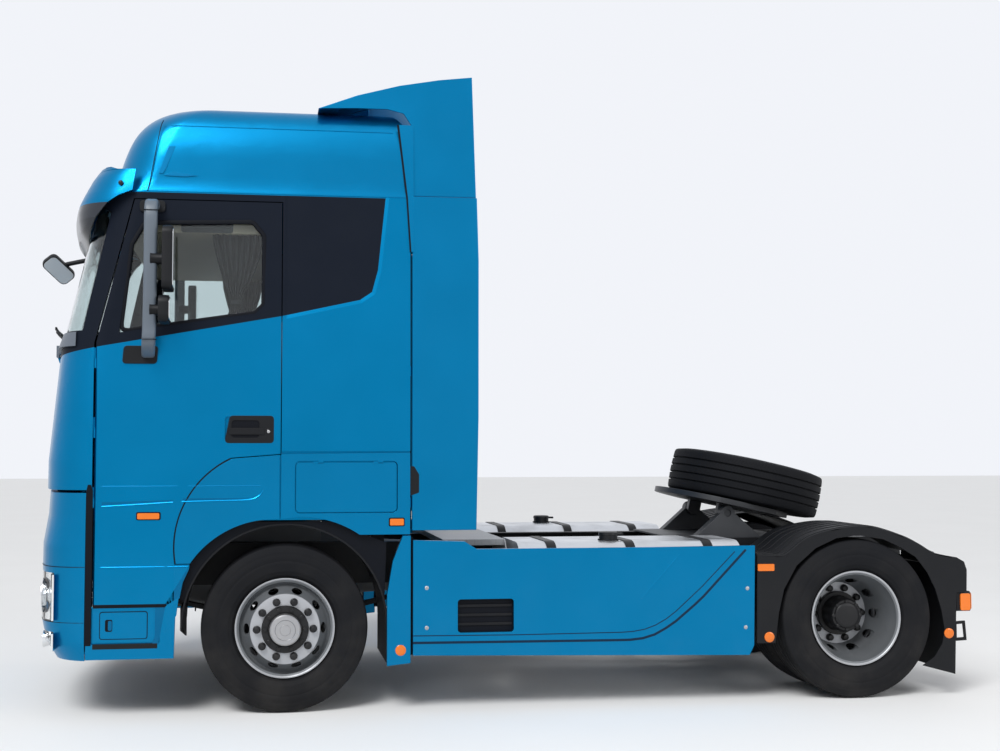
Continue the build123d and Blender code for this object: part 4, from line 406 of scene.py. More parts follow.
@dataclass(frozen=True)
class Brushed(Finish):
    """Bare metal with rolled lines and smudges."""

    def surface(self, n: Nodes, shader: Node) -> Socket:
        """Metal with the shared brushed lines."""
        tone, rough = self.effect(n, EFFECTS.brushed, Colour=(*self.colour, 1), Strength=self.wander * 2)
        dusty = self.effect(n, EFFECTS.dust, Colour=tone, Amount=self.dust)[0]
        n.fill(shader, Base_Color=dusty, Roughness=n.math("ADD", rough, self.roughness - 0.3), Metallic=self.metallic)
        return shader.outputs[0]


@dataclass(frozen=True)
class Woven(Finish):
    """Woven cloth: crossed threads in the height, and in the colour darker gaps between them as painted shade."""

    threads: float = 900.0

    def tint(self, n: Nodes) -> Socket:
        """Threads a little lighter than the gaps between them, which are darkened as painted shade."""
        return n.mix(self._threads(n), (*[c * 0.85 for c in self.colour], 1), (*self.colour, 1))

    def _threads(self, n: Nodes) -> Socket:
        """Height of the crossed threads."""
        a, b, c = [n.math("SINE", n.times(part, self.threads * 3.14)) for part in n.split(n.place())]
        product = n.math("ADD", n.math("ADD", n.times(a, b), n.times(c, b)), n.times(a, c))
        return n.math("MULTIPLY_ADD", product, 0.3, 0.5)

    def relief(self, n: Nodes) -> Socket:
        """Thread relief with a soft pucker."""
        pucker = n.times(n.noise(n.place(), 22.0, 2.0), 2.0)
        return n.bump(n.math("ADD", self._threads(n), pucker), 0.12, 0.001)


@dataclass(frozen=True)
class TreadPlate(Finish):
    """Metal plate with raised lozenges in two directions."""

    def relief(self, n: Nodes) -> Socket:
        """Lozenges on a diagonal grid."""
        u, v, _ = n.split(n.scaled((30.0, 30.0, 30.0), math.radians(45)))
        across = n.math("SUBTRACT", n.math("FRACT", u), 0.5)
        along = n.math("SUBTRACT", n.math("FRACT", v), 0.5)
        odd = n.math("MODULO", n.math("FLOOR", n.math("ADD", u, 500.0)), 2.0)
        even = n.math("SUBTRACT", 1.0, odd)
        wide = n.math("ABSOLUTE", n.math("ADD", n.times(across, odd), n.times(along, even)))
        narrow = n.math("ABSOLUTE", n.math("ADD", n.times(along, odd), n.times(across, even)))
        return n.bump(n.ramp(n.math("MAXIMUM", wide, n.times(narrow, 3.0)), 0.4, 0.3), 0.7, 0.002)


BLUE = (0.0, 0.192, 0.41)
PAINT = Finish("blue_paint", "paint_blue", BLUE, 0.3, 0.93, 0.05, 0.06, 0.02)
BANDED = BandedPaint("blue_paint_with_band", "paint_blue", BLUE, 0.3, 0.93, 0.05, 0.06, 0.02, specular=0.2)
# Darker copy of the blue paint: painted shade, laid over recesses, steps, folds and creases of the panels.
SHADOWED = Finish("blue_paint_low", "paint_blue", (0.0, 0.135, 0.30), 0.36, 0.9, 0.03, 0.08, 0.04)
# Dark strips laid on the skirts' skin: painted shade standing in for their moulded grooves.
GROOVE_SHADE = Finish("moulded_groove", "paint_blue", (0.0, 0.016, 0.045), 0.5, dust=0.0, specular=0.2)
SLATE = Finish("slate_plastic", "paint_grey", (0.018, 0.022, 0.03), 0.45, dust=0.05, grain=0.12, specular=0.2)
GREY = Finish("cowl_grey", "paint_grey", (0.10, 0.12, 0.15), 0.45, dust=0.1, grain=0.1)
BLACK = Finish("black_plastic", "black_plastic", (0.0055, 0.0062, 0.008), 0.48, wander=0.08, dust=0.02, grain=0.2,
               grain_scale=500, specular=0.2)
ARM_GREY = Finish("mirror_arm_grey", "paint_grey", (0.10, 0.125, 0.155), 0.42, dust=0.06, grain=0.1)
SEAL = Finish("seal_rubber", "black_plastic", (0.003, 0.004, 0.007), 0.5, wander=0.05, dust=0.0, specular=0.12)
WINDOW = Glass("window_glass", "glass", (0.72, 0.80, 0.80), 0.02)
LENS = Glass("clear_lens", "lamp_clear", (0.95, 0.97, 0.98), 0.03)
MIRROR = Finish("mirror_glass", "lamp_clear", (0.85, 0.87, 0.88), 0.08, 1.0, wander=0.02, dust=0.03)
# Front mirror glass: partly real gloss, and a pale diffuse grey as a painted reflection of the ground.
MIRROR_PAINTED_REFLECTION = Finish("front_mirror_glass", "lamp_clear", (0.62, 0.64, 0.64), 0.2, 0.35, wander=0.1, dust=0.0)
AMBER = Finish("amber_lens", "lamp_red", (0.75, 0.16, 0.0), 0.2, coat=0.3, wander=0.15, dust=0.04)
RED = Finish("red_lens", "lamp_red", (0.50, 0.012, 0.008), 0.2, coat=0.3, wander=0.15, dust=0.04)
CHROME = Finish("lamp_chrome", "lamp_clear", (0.8, 0.81, 0.82), 0.12, 1.0, wander=0.04, dust=0.02)
CABIN_DARK = Finish("cabin_dark", "interior_dark", (0.035, 0.036, 0.04), 0.6, grain=0.4, grain_scale=400, dust=0.0)
CABIN_BEIGE = Finish("cabin_beige", "interior_beige", (0.33, 0.27, 0.20), 0.6, grain=0.35, grain_scale=400, dust=0.0)
CURTAIN = Woven("curtain_cloth", "fabric_dark", (0.016, 0.016, 0.018), 0.9, dust=0.0, specular=0.15)
UPHOLSTERY = Woven("seat_cloth", "fabric_grey", (0.10, 0.10, 0.115), 0.85, dust=0.0, threads=600.0)
SATIN = Finish("chassis_black", "chassis_paint", (0.007, 0.0078, 0.0095), 0.42, wander=0.2, dust=0.10, specular=0.2)
CAST = Finish("cast_iron", "cast_grey", (0.07, 0.07, 0.072), 0.6, 0.3, wander=0.25, dust=0.5, grain=0.5,
              grain_scale=260)
TANK = Brushed("tank_metal", "tank_alu", (0.66, 0.68, 0.71), 0.3, 0.9, wander=0.2, dust=0.22)
# Rim silver in two copies: this darker one for the barrel as painted shade, DISC the lighter one for the disc's face
# and the flanges.
RIM_BARREL_SHADE = Finish("rim_barrel", "rim_silver", (0.13, 0.14, 0.15), 0.4, 0.3, wander=0.2, dust=0.08)
DISC = Finish("disc_silver", "rim_silver", (0.40, 0.41, 0.43), 0.4, 0.4, wander=0.12, dust=0.1)
NUT = Finish("nut_black", "cast_grey", (0.006, 0.0065, 0.008), 0.38, 0.0, dust=0.06, specular=0.3)
STEEL = Finish("plain_steel", "cast_grey", (0.42, 0.42, 0.43), 0.35, 0.85, wander=0.2, dust=0.15)
TYRE = Rubber("tyre_rubber", "tyre", (0.0065, 0.0072, 0.0092), 0.68, wander=0.2, dust=0.06, specular=0.12)
DECK = TreadPlate("deck_plate", "deck_plate", (0.38, 0.39, 0.40), 0.45, 0.6, wander=0.2, dust=0.3)
TREAD = TreadPlate("step_tread", "black_plastic", (0.03, 0.03, 0.034), 0.6, dust=0.25)
COUPLING_PAINT = Finish("coupling_black", "coupling_paint", (0.018, 0.02, 0.024), 0.4, 0.1, wander=0.3, dust=0.12)
BASE_GREY = Finish("coupling_base_grey", "coupling_paint", (0.035, 0.038, 0.043), 0.45, 0.2, wander=0.25, dust=0.15)
ENGINE_GREY = Finish("engine_grey", "engine_paint", (0.12, 0.125, 0.13), 0.5, 0.3, wander=0.3, dust=0.3, grain=0.4,
                     grain_scale=200)
VISOR_TINT = Finish("visor_smoke", "black_plastic", (0.012, 0.016, 0.024), 0.22, coat=0.25, wander=0.1, dust=0.02,
                    specular=0.4)
SMOKE = Finish("visor_lip", "black_plastic", (0.012, 0.015, 0.02), 0.2, coat=0.2, wander=0.1, dust=0.0, specular=0.3)


# ---- Mesh building


def new_object(name: str, data: object) -> Obj:
    """Object in the scene, at the origin."""
    made = bpy.data.objects.new(name, data)
    bpy.context.scene.collection.objects.link(made)
    return made


def drop(*pieces: Obj) -> None:
    """Remove helper objects."""
    for piece in pieces:
        bpy.data.objects.remove(piece)


def from_bmesh(name: str, bm: bmesh.types.BMesh) -> Obj:
    """Object from a bmesh, which is freed."""
    mesh = bpy.data.meshes.new(name)
    bm.to_mesh(mesh)
    bm.free()
    return new_object(name, mesh)


def smooth(made: Obj, sharp: float) -> None:
    """Shade smooth, with edges over an angle in degrees kept sharp."""
    made.data.shade_smooth()
    made.data.set_sharp_from_angle(angle=math.radians(sharp))


def settle(name: str, bm: bmesh.types.BMesh, finish: Finish, sharp: float = 32.0) -> Obj:
    """Turn a bmesh into an object with a finish.

    Args:
        name: Name of the object.
        bm: Mesh, freed here.
        finish: Its finish.
        sharp: Edges over this angle in degrees stay sharp.

    Returns:
        The object, at the origin.
    """
    bmesh.ops.recalc_face_normals(bm, faces=bm.faces)
    made = from_bmesh(name, bm)
    smooth(made, sharp)
    made.data.materials.append(finish.material())
    return made


def modifier(made: Obj, kind: str, **settings: object) -> bpy.types.Modifier:
    """Add a modifier with its settings."""
    added = made.modifiers.new(kind.lower(), kind)
    for key, value in settings.items():
        setattr(added, key, value)
    return added


def plain_mesh(made: Obj) -> Obj:
    """Apply an object's modifiers into its mesh and take them off."""
    bpy.context.view_layer.update()
    graph = bpy.context.evaluated_depsgraph_get()
    mesh = bpy.data.meshes.new_from_object(made.evaluated_get(graph), depsgraph=graph)
    mesh.name = made.name
    old = made.data
    made.modifiers.clear()
    made.data = mesh
    if old.users == 0:
        bpy.data.meshes.remove(old)
    return made


def even_shade(made: Obj) -> Obj:
    """Weight the normals by face size, so that flat faces stay flat beside eased edges."""
    modifier(made, "WEIGHTED_NORMAL", mode="FACE_AREA", weight=80, keep_sharp=True)
    return plain_mesh(made)


def prism(name: str, outline: Line, axis: str, start: float, end: float, finish: Finish,
          bevel: float = 2.0, holes: Sequence[Line] = ()) -> Obj:
    """Plate with a flat outline and eased edges.

    Args:
        name: Name of the piece.
        outline: Corners in mm: (x, z) for axis "y", (y, z) for axis "x", (x, y) for axis "z".
        axis: Axis the outline is pushed along.
        start: Where the push starts, in mm.
        end: Where it ends.
        finish: Its finish.
        bevel: Width of the eased edge in mm.
        holes: Outlines of openings through the plate.

    Returns:
        The plate.
    """
    order = {"y": lambda a, b, c: point(a, c, b), "x": lambda a, b, c: point(c, a, b),
             "z": lambda a, b, c: point(a, b, c)}[axis]
    bm = bmesh.new()
    edges = []
    for loop in (outline, *holes):
        ring = [bm.verts.new(order(a, b, start)) for a, b in loop]
        edges += [bm.edges.new((ring[i - 1], ring[i])) for i in [*range(1, len(ring)), 0]]
    bmesh.ops.triangle_fill(bm, edges=edges, use_beauty=True)
    if not holes:
        bmesh.ops.dissolve_limit(bm, angle_limit=0.01, verts=bm.verts, edges=bm.edges)
    pushed = bmesh.ops.extrude_face_region(bm, geom=list(bm.faces))["geom"]
    bmesh.ops.translate(bm, vec=order(0, 0, end) - order(0, 0, start),
                        verts=[v for v in pushed if isinstance(v, bmesh.types.BMVert)])
    bmesh.ops.recalc_face_normals(bm, faces=bm.faces)
    if bevel:
        rims = [e for e in bm.edges if len(e.link_faces) == 2 and e.calc_face_angle(0) > math.radians(25)]
        bmesh.ops.bevel(bm, geom=rims, offset=bevel / 1000, segments=2, profile=0.7, affect="EDGES",
                        clamp_overlap=True)
    return even_shade(settle(name, bm, finish, 40))


def plate(name: str, outline: Line, start: float, end: float, finish: Finish, bevel: float = 2.0,
          holes: Sequence[Line] = ()) -> Obj:
    """Plate that lies along the truck: its outline in x and z, pushed from one y to another."""
    return prism(name, outline, "y", start, end, finish, bevel, holes)


def rounded(width: float, height: float, radius: float, centre: Pair = (0.0, 0.0), steps: int = 5,
            lean: float = 0.0) -> list[Pair]:
    """Corners of a rounded rectangle.

    Args:
        width: Full width.
        height: Full height.
        radius: Corner radius.
        centre: Its middle.
        steps: Points along each corner.
        lean: Shift of the top against the bottom.

    Returns:
        The points, in order.
    """
    points = []
    for quarter, (sx, sy) in enumerate(((1, 1), (-1, 1), (-1, -1), (1, -1))):
        for step in range(steps):
            angle = math.radians(90 * (quarter + step / (steps - 1)))
            x = sx * (width / 2 - radius) + radius * math.cos(angle)
            y = sy * (height / 2 - radius) + radius * math.sin(angle)
            points.append((centre[0] + x + lean * y / height, centre[1] + y))
    return points


def box(left: float, low: float, right: float, high: float) -> list[Pair]:
    """Corners of a plain rectangle."""
    return [(left, low), (right, low), (right, high), (left, high)]


def turns(steps: int) -> list[float]:
    """Angles of even steps round a circle."""
    return [2 * math.pi * k / steps for k in range(steps)]


def circle(radius: float, steps: int = 12) -> list[Pair]:
    """Round section in mm."""
    return [(radius * math.cos(t), radius * math.sin(t)) for t in turns(steps)]


def lathe(name: str, profile: Line, centre: Vector, axis: Vector, finish: Finish, steps: int = 96,
          closed: bool = False, uv: bool = False, sharp: float = 32.0) -> Obj:
    """Turned piece.

    Args:
        name: Name of the piece.
        profile: Distance along the axis and radius in mm, in order round the section.
        centre: Point of the axis that distances start from.
        axis: Direction of the axis, of length 1.
        finish: Its finish.
        steps: Steps round.
        closed: True where the section closes on itself, False where it starts and ends on the axis or open.
        uv: True to write the UV map "wheel": turns round, metres along.
        sharp: Angle of edges that stay sharp.

    Returns:
        The piece.
    """
    first = axis.orthogonal().normalized()
    second = axis.cross(first)
    bm = bmesh.new()
    rings = []
    for along, radius in profile:
        middle = centre + axis * along / 1000
        rings.append([bm.verts.new(middle + (first * math.cos(t) + second * math.sin(t)) * radius / 1000)
                      for t in turns(steps)] if radius else [bm.verts.new(middle)] * steps)
    layer = bm.loops.layers.uv.new("wheel") if uv else None
    for low in range(len(rings) if closed else len(rings) - 1):
        high = (low + 1) % len(rings)
        for k in range(steps):
            picked = {}
            for ring, step in ((low, k), (low, k + 1), (high, k + 1), (high, k)):
                picked.setdefault(rings[ring][step % steps], (step / steps, profile[ring][0] / 1000))
            if len(picked) > 2:
                face = bm.faces.new(list(picked))
                for loop in face.loops if layer else ():
                    loop[layer].uv = picked[loop.vert]
    return settle(name, bm, finish, sharp)


def sweep(name: str, path: Sequence[Vector], section: Line, finish: Finish, closed: bool = False,
          up: Vector = UP) -> Obj:
    """Section carried along a path.

    Args:
        name: Name of the piece.
        path: Points in metres.
        section: Closed section in mm, as distance to the side and along up.
        finish: Its finish.
        closed: True where the path closes on itself.
        up: Direction that the section's second axis keeps near.

    Returns:
        The piece.
    """
    bm = bmesh.new()
    rings = []
    count, size = len(path), len(section)
    for i, here in enumerate(path):
        before = path[i - 1] if i or closed else here
        after = path[(i + 1) % count] if i + 1 < count or closed else here
        way_in = (here - before).normalized() if here != before else (after - here).normalized()
        way_out = (after - here).normalized() if after != here else way_in
        way = (way_in + way_out).normalized()
        side = way.cross(up)
        side = side.normalized() if side.length > 1e-4 else way.orthogonal().normalized()
        top = side.cross(way)
        stretch = 1 / max(0.35, way.dot(way_out))
        flat = way_in.cross(way_out)
        across = stretch if flat.length > 1e-4 and abs(flat.normalized().dot(top)) > 0.5 else 1.0
        along = stretch if flat.length > 1e-4 and across == 1.0 else 1.0
        rings.append([bm.verts.new(here + side * a * across / 1000 + top * b * along / 1000) for a, b in section])
    for i in range(count if closed else count - 1):
        here, there = rings[i], rings[(i + 1) % count]
        for k in range(size):
            bm.faces.new((here[k], here[(k + 1) % size], there[(k + 1) % size], there[k]))
    if not closed:
        bm.faces.new(rings[0])
        bm.faces.new(list(reversed(rings[-1])))
    return settle(name, bm, finish)


def arc_points(points: Sequence[Triple], steps: int = 6) -> list[Vector]:
    """Smooth line through points in mm, Catmull-Rom between them."""
    line = [point(*p) for p in points]
    ends = [line[0] * 2 - line[1], *line, line[-1] * 2 - line[-2]]
    smoothed = []
    for i in range(1, len(ends) - 2):
        a, b, c, d = ends[i - 1:i + 3]
        for t in (step / steps for step in range(steps)):
            smoothed.append(0.5 * ((2 * b) + (c - a) * t + (2 * a - 5 * b + 4 * c - d) * t ** 2
                                   + (3 * b - a - 3 * c + d) * t ** 3))
    return [*smoothed, line[-1]]


def bead(name: str, points: Sequence[Triple], radius: float, finish: Finish, steps: int = 4, sides: int = 8) -> Obj:
    """Round bead or tube along points in mm, half sunk where they lie on a surface."""
    return sweep(name, arc_points(points, steps), circle(radius, sides), finish)


def ribbon(name: str, line: Line, y: float, section: Line, finish: Finish) -> Obj:
    """Section carried along a line of x and z at one y, its second axis across the truck."""
    return sweep(name, [point(x, y, z) for x, z in line], section, finish, up=RIGHT)


def mirrored(piece: Obj, name: str) -> Obj:
    """Copy of a piece on the other side of the truck."""
    mesh = piece.data.copy()
    mesh.name = name
    mesh.transform(Matrix.Scale(-1, 4, RIGHT))
    mesh.flip_normals()
    return new_object(name, mesh)


def joined(name: str, pieces: Sequence[Obj]) -> Obj:
    """One object from several, each keeping its finish."""
    bm = bmesh.new()
    finishes: list[bpy.types.Material] = []
    for piece in pieces:
        finishes += [material for material in piece.data.materials if material not in finishes]
        offset = [finishes.index(material) for material in piece.data.materials]
        start = len(bm.faces)
        bm.from_mesh(piece.data)
        bm.faces.ensure_lookup_table()
        for face in bm.faces[start:]:
            face.material_index = offset[face.material_index]
    made = from_bmesh(name, bm)
    for material in finishes:
        made.data.materials.append(material)
    drop(*pieces)
    return made


def fit(piece: Obj, body: Body, finish: Finish, *replaced: str) -> Obj:
    """Hand a finished piece to the frame.

    Args:
        piece: The piece.
        body: Body it rides on.
        finish: Not used.
        replaced: CAD nodes that it stands for.

    Returns:
        The piece.
    """
    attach(piece, body.value)
    if replaced:
        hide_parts(*replaced)
    LOG.info("%s: %d faces, rides on %s", piece.name, len(piece.data.polygons), body.value)
    return piece


def pair(piece: Obj, stem: str, bodies: tuple[Body, Body], finish: Finish, node: str = "") -> None:
    """Fit a piece of the left side and its mirror image on the right.

    Args:
        piece: The left piece.
        stem: Name without the side.
        bodies: Left and right body.
        finish: Finish handed on to fit().
        node: Name without the side of the CAD nodes that they replace.
    """
    other = mirrored(piece, stem + "_right")
    piece.name = stem + "_left"
    for half, body, side in ((piece, bodies[0], "_left"), (other, bodies[1], "_right")):
        fit(half, body, finish, *([node + side] if node else ()))


def both(stem: str, pieces: Sequence[Obj], body: Body, finish: Finish, *replaced: str) -> None:
    """Fit left pieces and their mirror images as one object on one body."""
    right = [mirrored(piece, piece.name + "_m") for piece in pieces]
    fit(joined(stem, [*pieces, *right]), body, finish, *replaced)


def refinish(made: Obj, finish: Finish) -> None:
    """Give an object one finish."""
    made.data.materials.clear()
    made.data.materials.append(finish.material())


def eased(node: str, finish: Finish, body: Body, bevel: float = 3.0, angle: float = 28.0) -> None:
    """Fit a copy of a CAD node with its edges eased and its curved faces smooth, standing for the node.

    Args:
        node: CAD node.
        finish: Its finish.
        body: Body it rides on.
        bevel: Width of the eased edge in mm.
        angle: Edges over this angle are eased.
    """
    bm = bmesh.new()
    bm.from_mesh(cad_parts[node].data)
    bmesh.ops.remove_doubles(bm, verts=bm.verts, dist=0.00005)
    bmesh.ops.dissolve_degenerate(bm, dist=0.00005, edges=bm.edges)
    bmesh.ops.dissolve_limit(bm, angle_limit=math.radians(0.6), verts=bm.verts, edges=bm.edges)
    made = from_bmesh(node + "_dressed", bm)
    modifier(made, "BEVEL", width=bevel / 1000, segments=2, limit_method="ANGLE", angle_limit=math.radians(angle))
    plain_mesh(made)
    smooth(made, 40)
    even_shade(made)
    refinish(made, finish)
    fit(made, body, finish, node)


class Repeats:
    """Geometry Nodes trees that set a tool piece out in rings and rows."""

    def __init__(self) -> None:
        """Build the trees once."""
        self.ring_tree = self._tree("bolt_ring", True)
        self.row_tree = self._tree("fastener_row", False)

    def _tree(self, name: str, ring: bool) -> Tree:
        """Tree that places copies of a tool on a ring or a row and gives them a finish."""
        tree = bpy.data.node_groups.new(name, "GeometryNodeTree")
        own = {"Radius": "Float", "Turn": "Vector"} if ring else {"Step": "Vector"}
        for label, kind in {"Geometry": "Geometry", "Tool": "Object", "Count": "Int", "Material": "Material", **own,
                            "Start": "Vector"}.items():
            tree.interface.new_socket(label, in_out="INPUT", socket_type="NodeSocket" + kind)
        tree.interface.new_socket("Geometry", in_out="OUTPUT", socket_type="NodeSocketGeometry")
        n = Nodes(tree)
        given = n.add("NodeGroupInput").outputs
        tool = n.fill(n.add("GeometryNodeObjectInfo"), Object=given["Tool"])
        spread = n.fill(n.add("GeometryNodeInstanceOnPoints"), Instance=tool.outputs["Geometry"])
        place = n.fill(n.add("GeometryNodeTransform"), Geometry=spread.outputs[0], Translation=given["Start"])
        if ring:
            points = n.fill(n.add("GeometryNodeMeshCircle"), Vertices=given["Count"], Radius=given["Radius"])
            facing = n.fill(n.add("FunctionNodeAlignRotationToVector", axis="X"),
                            Vector=n.add("GeometryNodeInputPosition").outputs[0])
            n.fill(spread, Rotation=facing.outputs[0])
            turn = n.add("FunctionNodeEulerToRotation", in_0=given["Turn"])
            n.fill(place, Rotation=turn.outputs[0])
        else:
            points = n.fill(n.add("GeometryNodeMeshLine", mode="OFFSET"), Count=given["Count"], Offset=given["Step"])
        n.fill(spread, Points=points.outputs[0])
        real = n.add("GeometryNodeRealizeInstances", in_0=place.outputs[0])
        paint = n.fill(n.add("GeometryNodeSetMaterial"), Geometry=real.outputs[0], Material=given["Material"])
        n.add("NodeGroupOutput", in_0=paint.outputs[0])
        return tree

    def _run(self, name: str, tree: Tree, finish: Finish, tool: Obj, **values: object) -> Obj:
        """Run a tree on an empty mesh and keep its result as a plain mesh."""
        made = new_object(name, bpy.data.meshes.new(name))
        nodes = modifier(made, "NODES", node_group=tree)
        values.update(Tool=tool, Material=finish.material())
        for item in tree.interface.items_tree:
            if item.in_out == "INPUT" and item.name in values:
                nodes[item.identifier] = values[item.name]
        return plain_mesh(made)

    def ring(self, name: str, tool: Obj, count: int, radius: float, centre: Vector, axis: Vector, finish: Finish
             ) -> Obj:
        """Copies of a tool in a ring about an axis; the tool points along +Z, its outer side along +X."""
        turn = Vector(UP.rotation_difference(axis).to_euler())
        return self._run(name, self.ring_tree, finish, tool, Count=count, Radius=radius / 1000, Turn=turn,
                         Start=centre)

    def row(self, name: str, tool: Obj, count: int, start: Vector, step: Vector, finish: Finish) -> Obj:
        """Copies of a tool in a row."""
        return self._run(name, self.row_tree, finish, tool, Count=count, Start=start, Step=step)


REPEATS = Repeats()


def tool_piece(profile: Line, axis: Vector, steps: int = 6) -> Obj:
    """Small turned tool at the origin for the repeats, such as a nut of six steps or a screw head."""
    return lathe("tool", profile, Vector(), axis, STEEL, steps)


def soft_corners(corners: Line, radius: float) -> list[Pair]:
    """Outline with each corner rounded by five points."""
    points = []
    for i, here in enumerate(corners):
        corner = Vector(here)
        back = Vector(corners[i - 1]) - corner
        ahead = Vector(corners[(i + 1) % len(corners)]) - corner
        reach = min(radius / math.tan(back.angle(ahead) / 2), back.length * 0.45, ahead.length * 0.45)
        start, end = corner + back.normalized() * reach, corner + ahead.normalized() * reach
        for t in (0, 0.25, 0.5, 0.75, 1):
            points.append(tuple(start * (1 - t) ** 2 + corner * 2 * t * (1 - t) + end * t ** 2))
    return points


def grown(corners: Line, amount: float) -> list[Pair]:
    """Outline moved outwards by an amount, for outlines in either order."""
    area = sum(a[0] * b[1] - b[0] * a[1] for a, b in zip(corners, [*corners[1:], corners[0]]))
    way = 1 if area > 0 else -1
    moved = []
    for i, here in enumerate(corners):
        a = (Vector(here) - Vector(corners[i - 1])).normalized()
        b = (Vector(corners[(i + 1) % len(corners)]) - Vector(here)).normalized()
        normal = Vector((a.y + b.y, -(a.x + b.x))) * way
        normal = normal.normalized() if normal.length > 1e-6 else Vector((a.y, -a.x)) * way
        reach = amount / max(0.3, math.cos(a.angle(b, 0.0) / 2))
        moved.append((here[0] + normal.x * reach, here[1] + normal.y * reach))
    return moved


def along_line(a: Sequence[float], b: Sequence[float], share: float) -> tuple[float, ...]:
    """Point between two, at a share of the way."""
    return tuple(p + (q - p) * share for p, q in zip(a, b))


def plan_line(z: float, nose: float, half: float, rear: float, corner: float = CORNER_R) -> list[Triple]:
    """Level line round the cab's nose, from the rear of the left side to the rear of the right side.

    Args:
        z: Height in mm.
        nose: x of the nose in mm.
        half: Half width.
        rear: x of both ends.
        corner: Radius of the corners in plan.

    Returns:
        Points in mm; the line is cut at rear where that lies on a corner.
    """
    nose_r, bow_steps, corner_steps = 5000.0, 8, 7
    reach = (half - corner) / (1 - corner / nose_r)
    lean = math.asin(reach / nose_r)
    start = nose + nose_r - math.sqrt(nose_r ** 2 - reach ** 2)
    middle = start + corner * math.cos(lean)
    right = []
    for k in range(bow_steps + 1):
        y = reach * k / bow_steps
        right.append((nose + nose_r - math.sqrt(nose_r ** 2 - y ** 2), y))
    for k in range(1, corner_steps + 1):
        turn = lean + (math.pi / 2 - lean) * k / corner_steps
        right.append((middle - corner * math.cos(turn), half - corner + corner * math.sin(turn)))
    kept = [p for p in right if p[0] < rear]
    last, following = kept[-1], next((p for p in right if p[0] >= rear), (max(rear, right[-1][0]), half))
    share = (rear - last[0]) / max(following[0] - last[0], 1e-6)
    end = (rear, last[1] + (following[1] - last[1]) * min(1.0, max(0.0, share)))
    spaced = resampled([*kept, *[along_line(last, end, k / 4) for k in range(1, 5)]], 28)
    return [(x, -y, z) for x, y in reversed(spaced[1:])] + [(x, y, z) for x, y in spaced]


def resampled(line: Line, count: int) -> list[Pair]:
    """The line with a set number of points, evenly spaced."""
    lengths = [0.0]
    for a, b in zip(line, line[1:]):
        lengths.append(lengths[-1] + math.dist(a, b))
    points = []
    for k in range(count):
        want = lengths[-1] * k / (count - 1)
        i = max(1, next((j for j, have in enumerate(lengths) if have >= want), len(line) - 1))
        span = max(lengths[i] - lengths[i - 1], 1e-9)
        points.append(along_line(line[i - 1], line[i], (want - lengths[i - 1]) / span))
    return points


def between(table: Sequence[Sequence[float]], value: float, column: int = 1) -> float:
    """Value of a column of a table at a place in its first column, straight between rows."""
    rows = sorted(table)
    for low, high in zip(rows, rows[1:]):
        if value <= high[0]:
            share = max(0.0, value - low[0]) / (high[0] - low[0])
            return low[column] + (high[column] - low[column]) * share
    return rows[-1][column]


def shell(name: str, rows: Sequence[Sequence[Triple]], inner: Sequence[Sequence[Triple]], finishes: Sequence[Finish],
          pick: Sequence[int], sharp: float) -> Obj:
    """Closed shell between an outer and an inner grid of points.

    Args:
        name: Name of the piece.
        rows: Outer rows of points in mm, all as long.
        inner: Inner rows, matching the outer ones.
        finishes: Finishes of the shell.
        pick: Finish of each strip between two rows.
        sharp: Angle of edges that stay sharp.

    Returns:
        The shell.
    """
    bm = bmesh.new()
    out = [[bm.verts.new(point(*p)) for p in row] for row in rows]
    back = [[bm.verts.new(point(*p)) for p in row] for row in inner]
    last = len(rows[0]) - 1
    for i, strip in enumerate(pick):
        quads = [(grid[i][k], grid[i][k + 1], grid[i + 1][k + 1], grid[i + 1][k])
                 for k in range(last) for grid in (out, back)]
        quads += [(out[i][k], out[i + 1][k], back[i + 1][k], back[i][k]) for k in (0, last)]
        for quad in quads:
            bm.faces.new(quad).material_index = strip
    for i in (0, -1):
        for k in range(last):
            bm.faces.new((out[i][k], out[i][k + 1], back[i][k + 1], back[i][k])).material_index = pick[i]
    made = settle(name, bm, finishes[0], sharp)
    for finish in finishes[1:]:
        made.data.materials.append(finish.material())
    return made


def aimed(piece: Obj, centre: Triple, across: Triple, facing: Triple) -> Obj:
    """Turn a piece made about the front axle's middle on the road to a centre, its X across and its Z facing."""
    z = Vector(facing).normalized()
    x = (Vector(across) - z * Vector(across).dot(z)).normalized()
    turn = Matrix((x, z.cross(x), z)).transposed().to_4x4()
    piece.data.transform(Matrix.Translation(point(*centre)) @ turn @ Matrix.Translation(-point(0, 0, 0)))
    return piece


def leaned(piece: Obj) -> Obj:
    """Lean a plate drawn at the roof's foot so that it follows the roof's side."""
    roof_foot, slope = 3.11, 0.0345
    for vert in piece.data.vertices:
        vert.co.y += (vert.co.z - roof_foot) * slope
    return piece


def arc_of(three: Line, count: int) -> list[Pair]:
    """Points of the arc through three points."""
    (ax, ay), (bx, by), (cx, cy) = three
    d = 2 * (ax * (by - cy) + bx * (cy - ay) + cx * (ay - by))
    a, b, c = ax * ax + ay * ay, bx * bx + by * by, cx * cx + cy * cy
    ux = (a * (by - cy) + b * (cy - ay) + c * (ay - by)) / d
    uy = (a * (cx - bx) + b * (ax - cx) + c * (bx - ax)) / d
    radius = math.dist((ax, ay), (ux, uy))
    start, middle, end = [math.atan2(y - uy, x - ux) for x, y in three]
    if not min(start, end) < middle < max(start, end):
        end += 2 * math.pi if end < start else -2 * math.pi
    way = [start + (end - start) * k / (count - 1) for k in range(count)]
    return [(ux + radius * math.cos(t), uy + radius * math.sin(t)) for t in way]


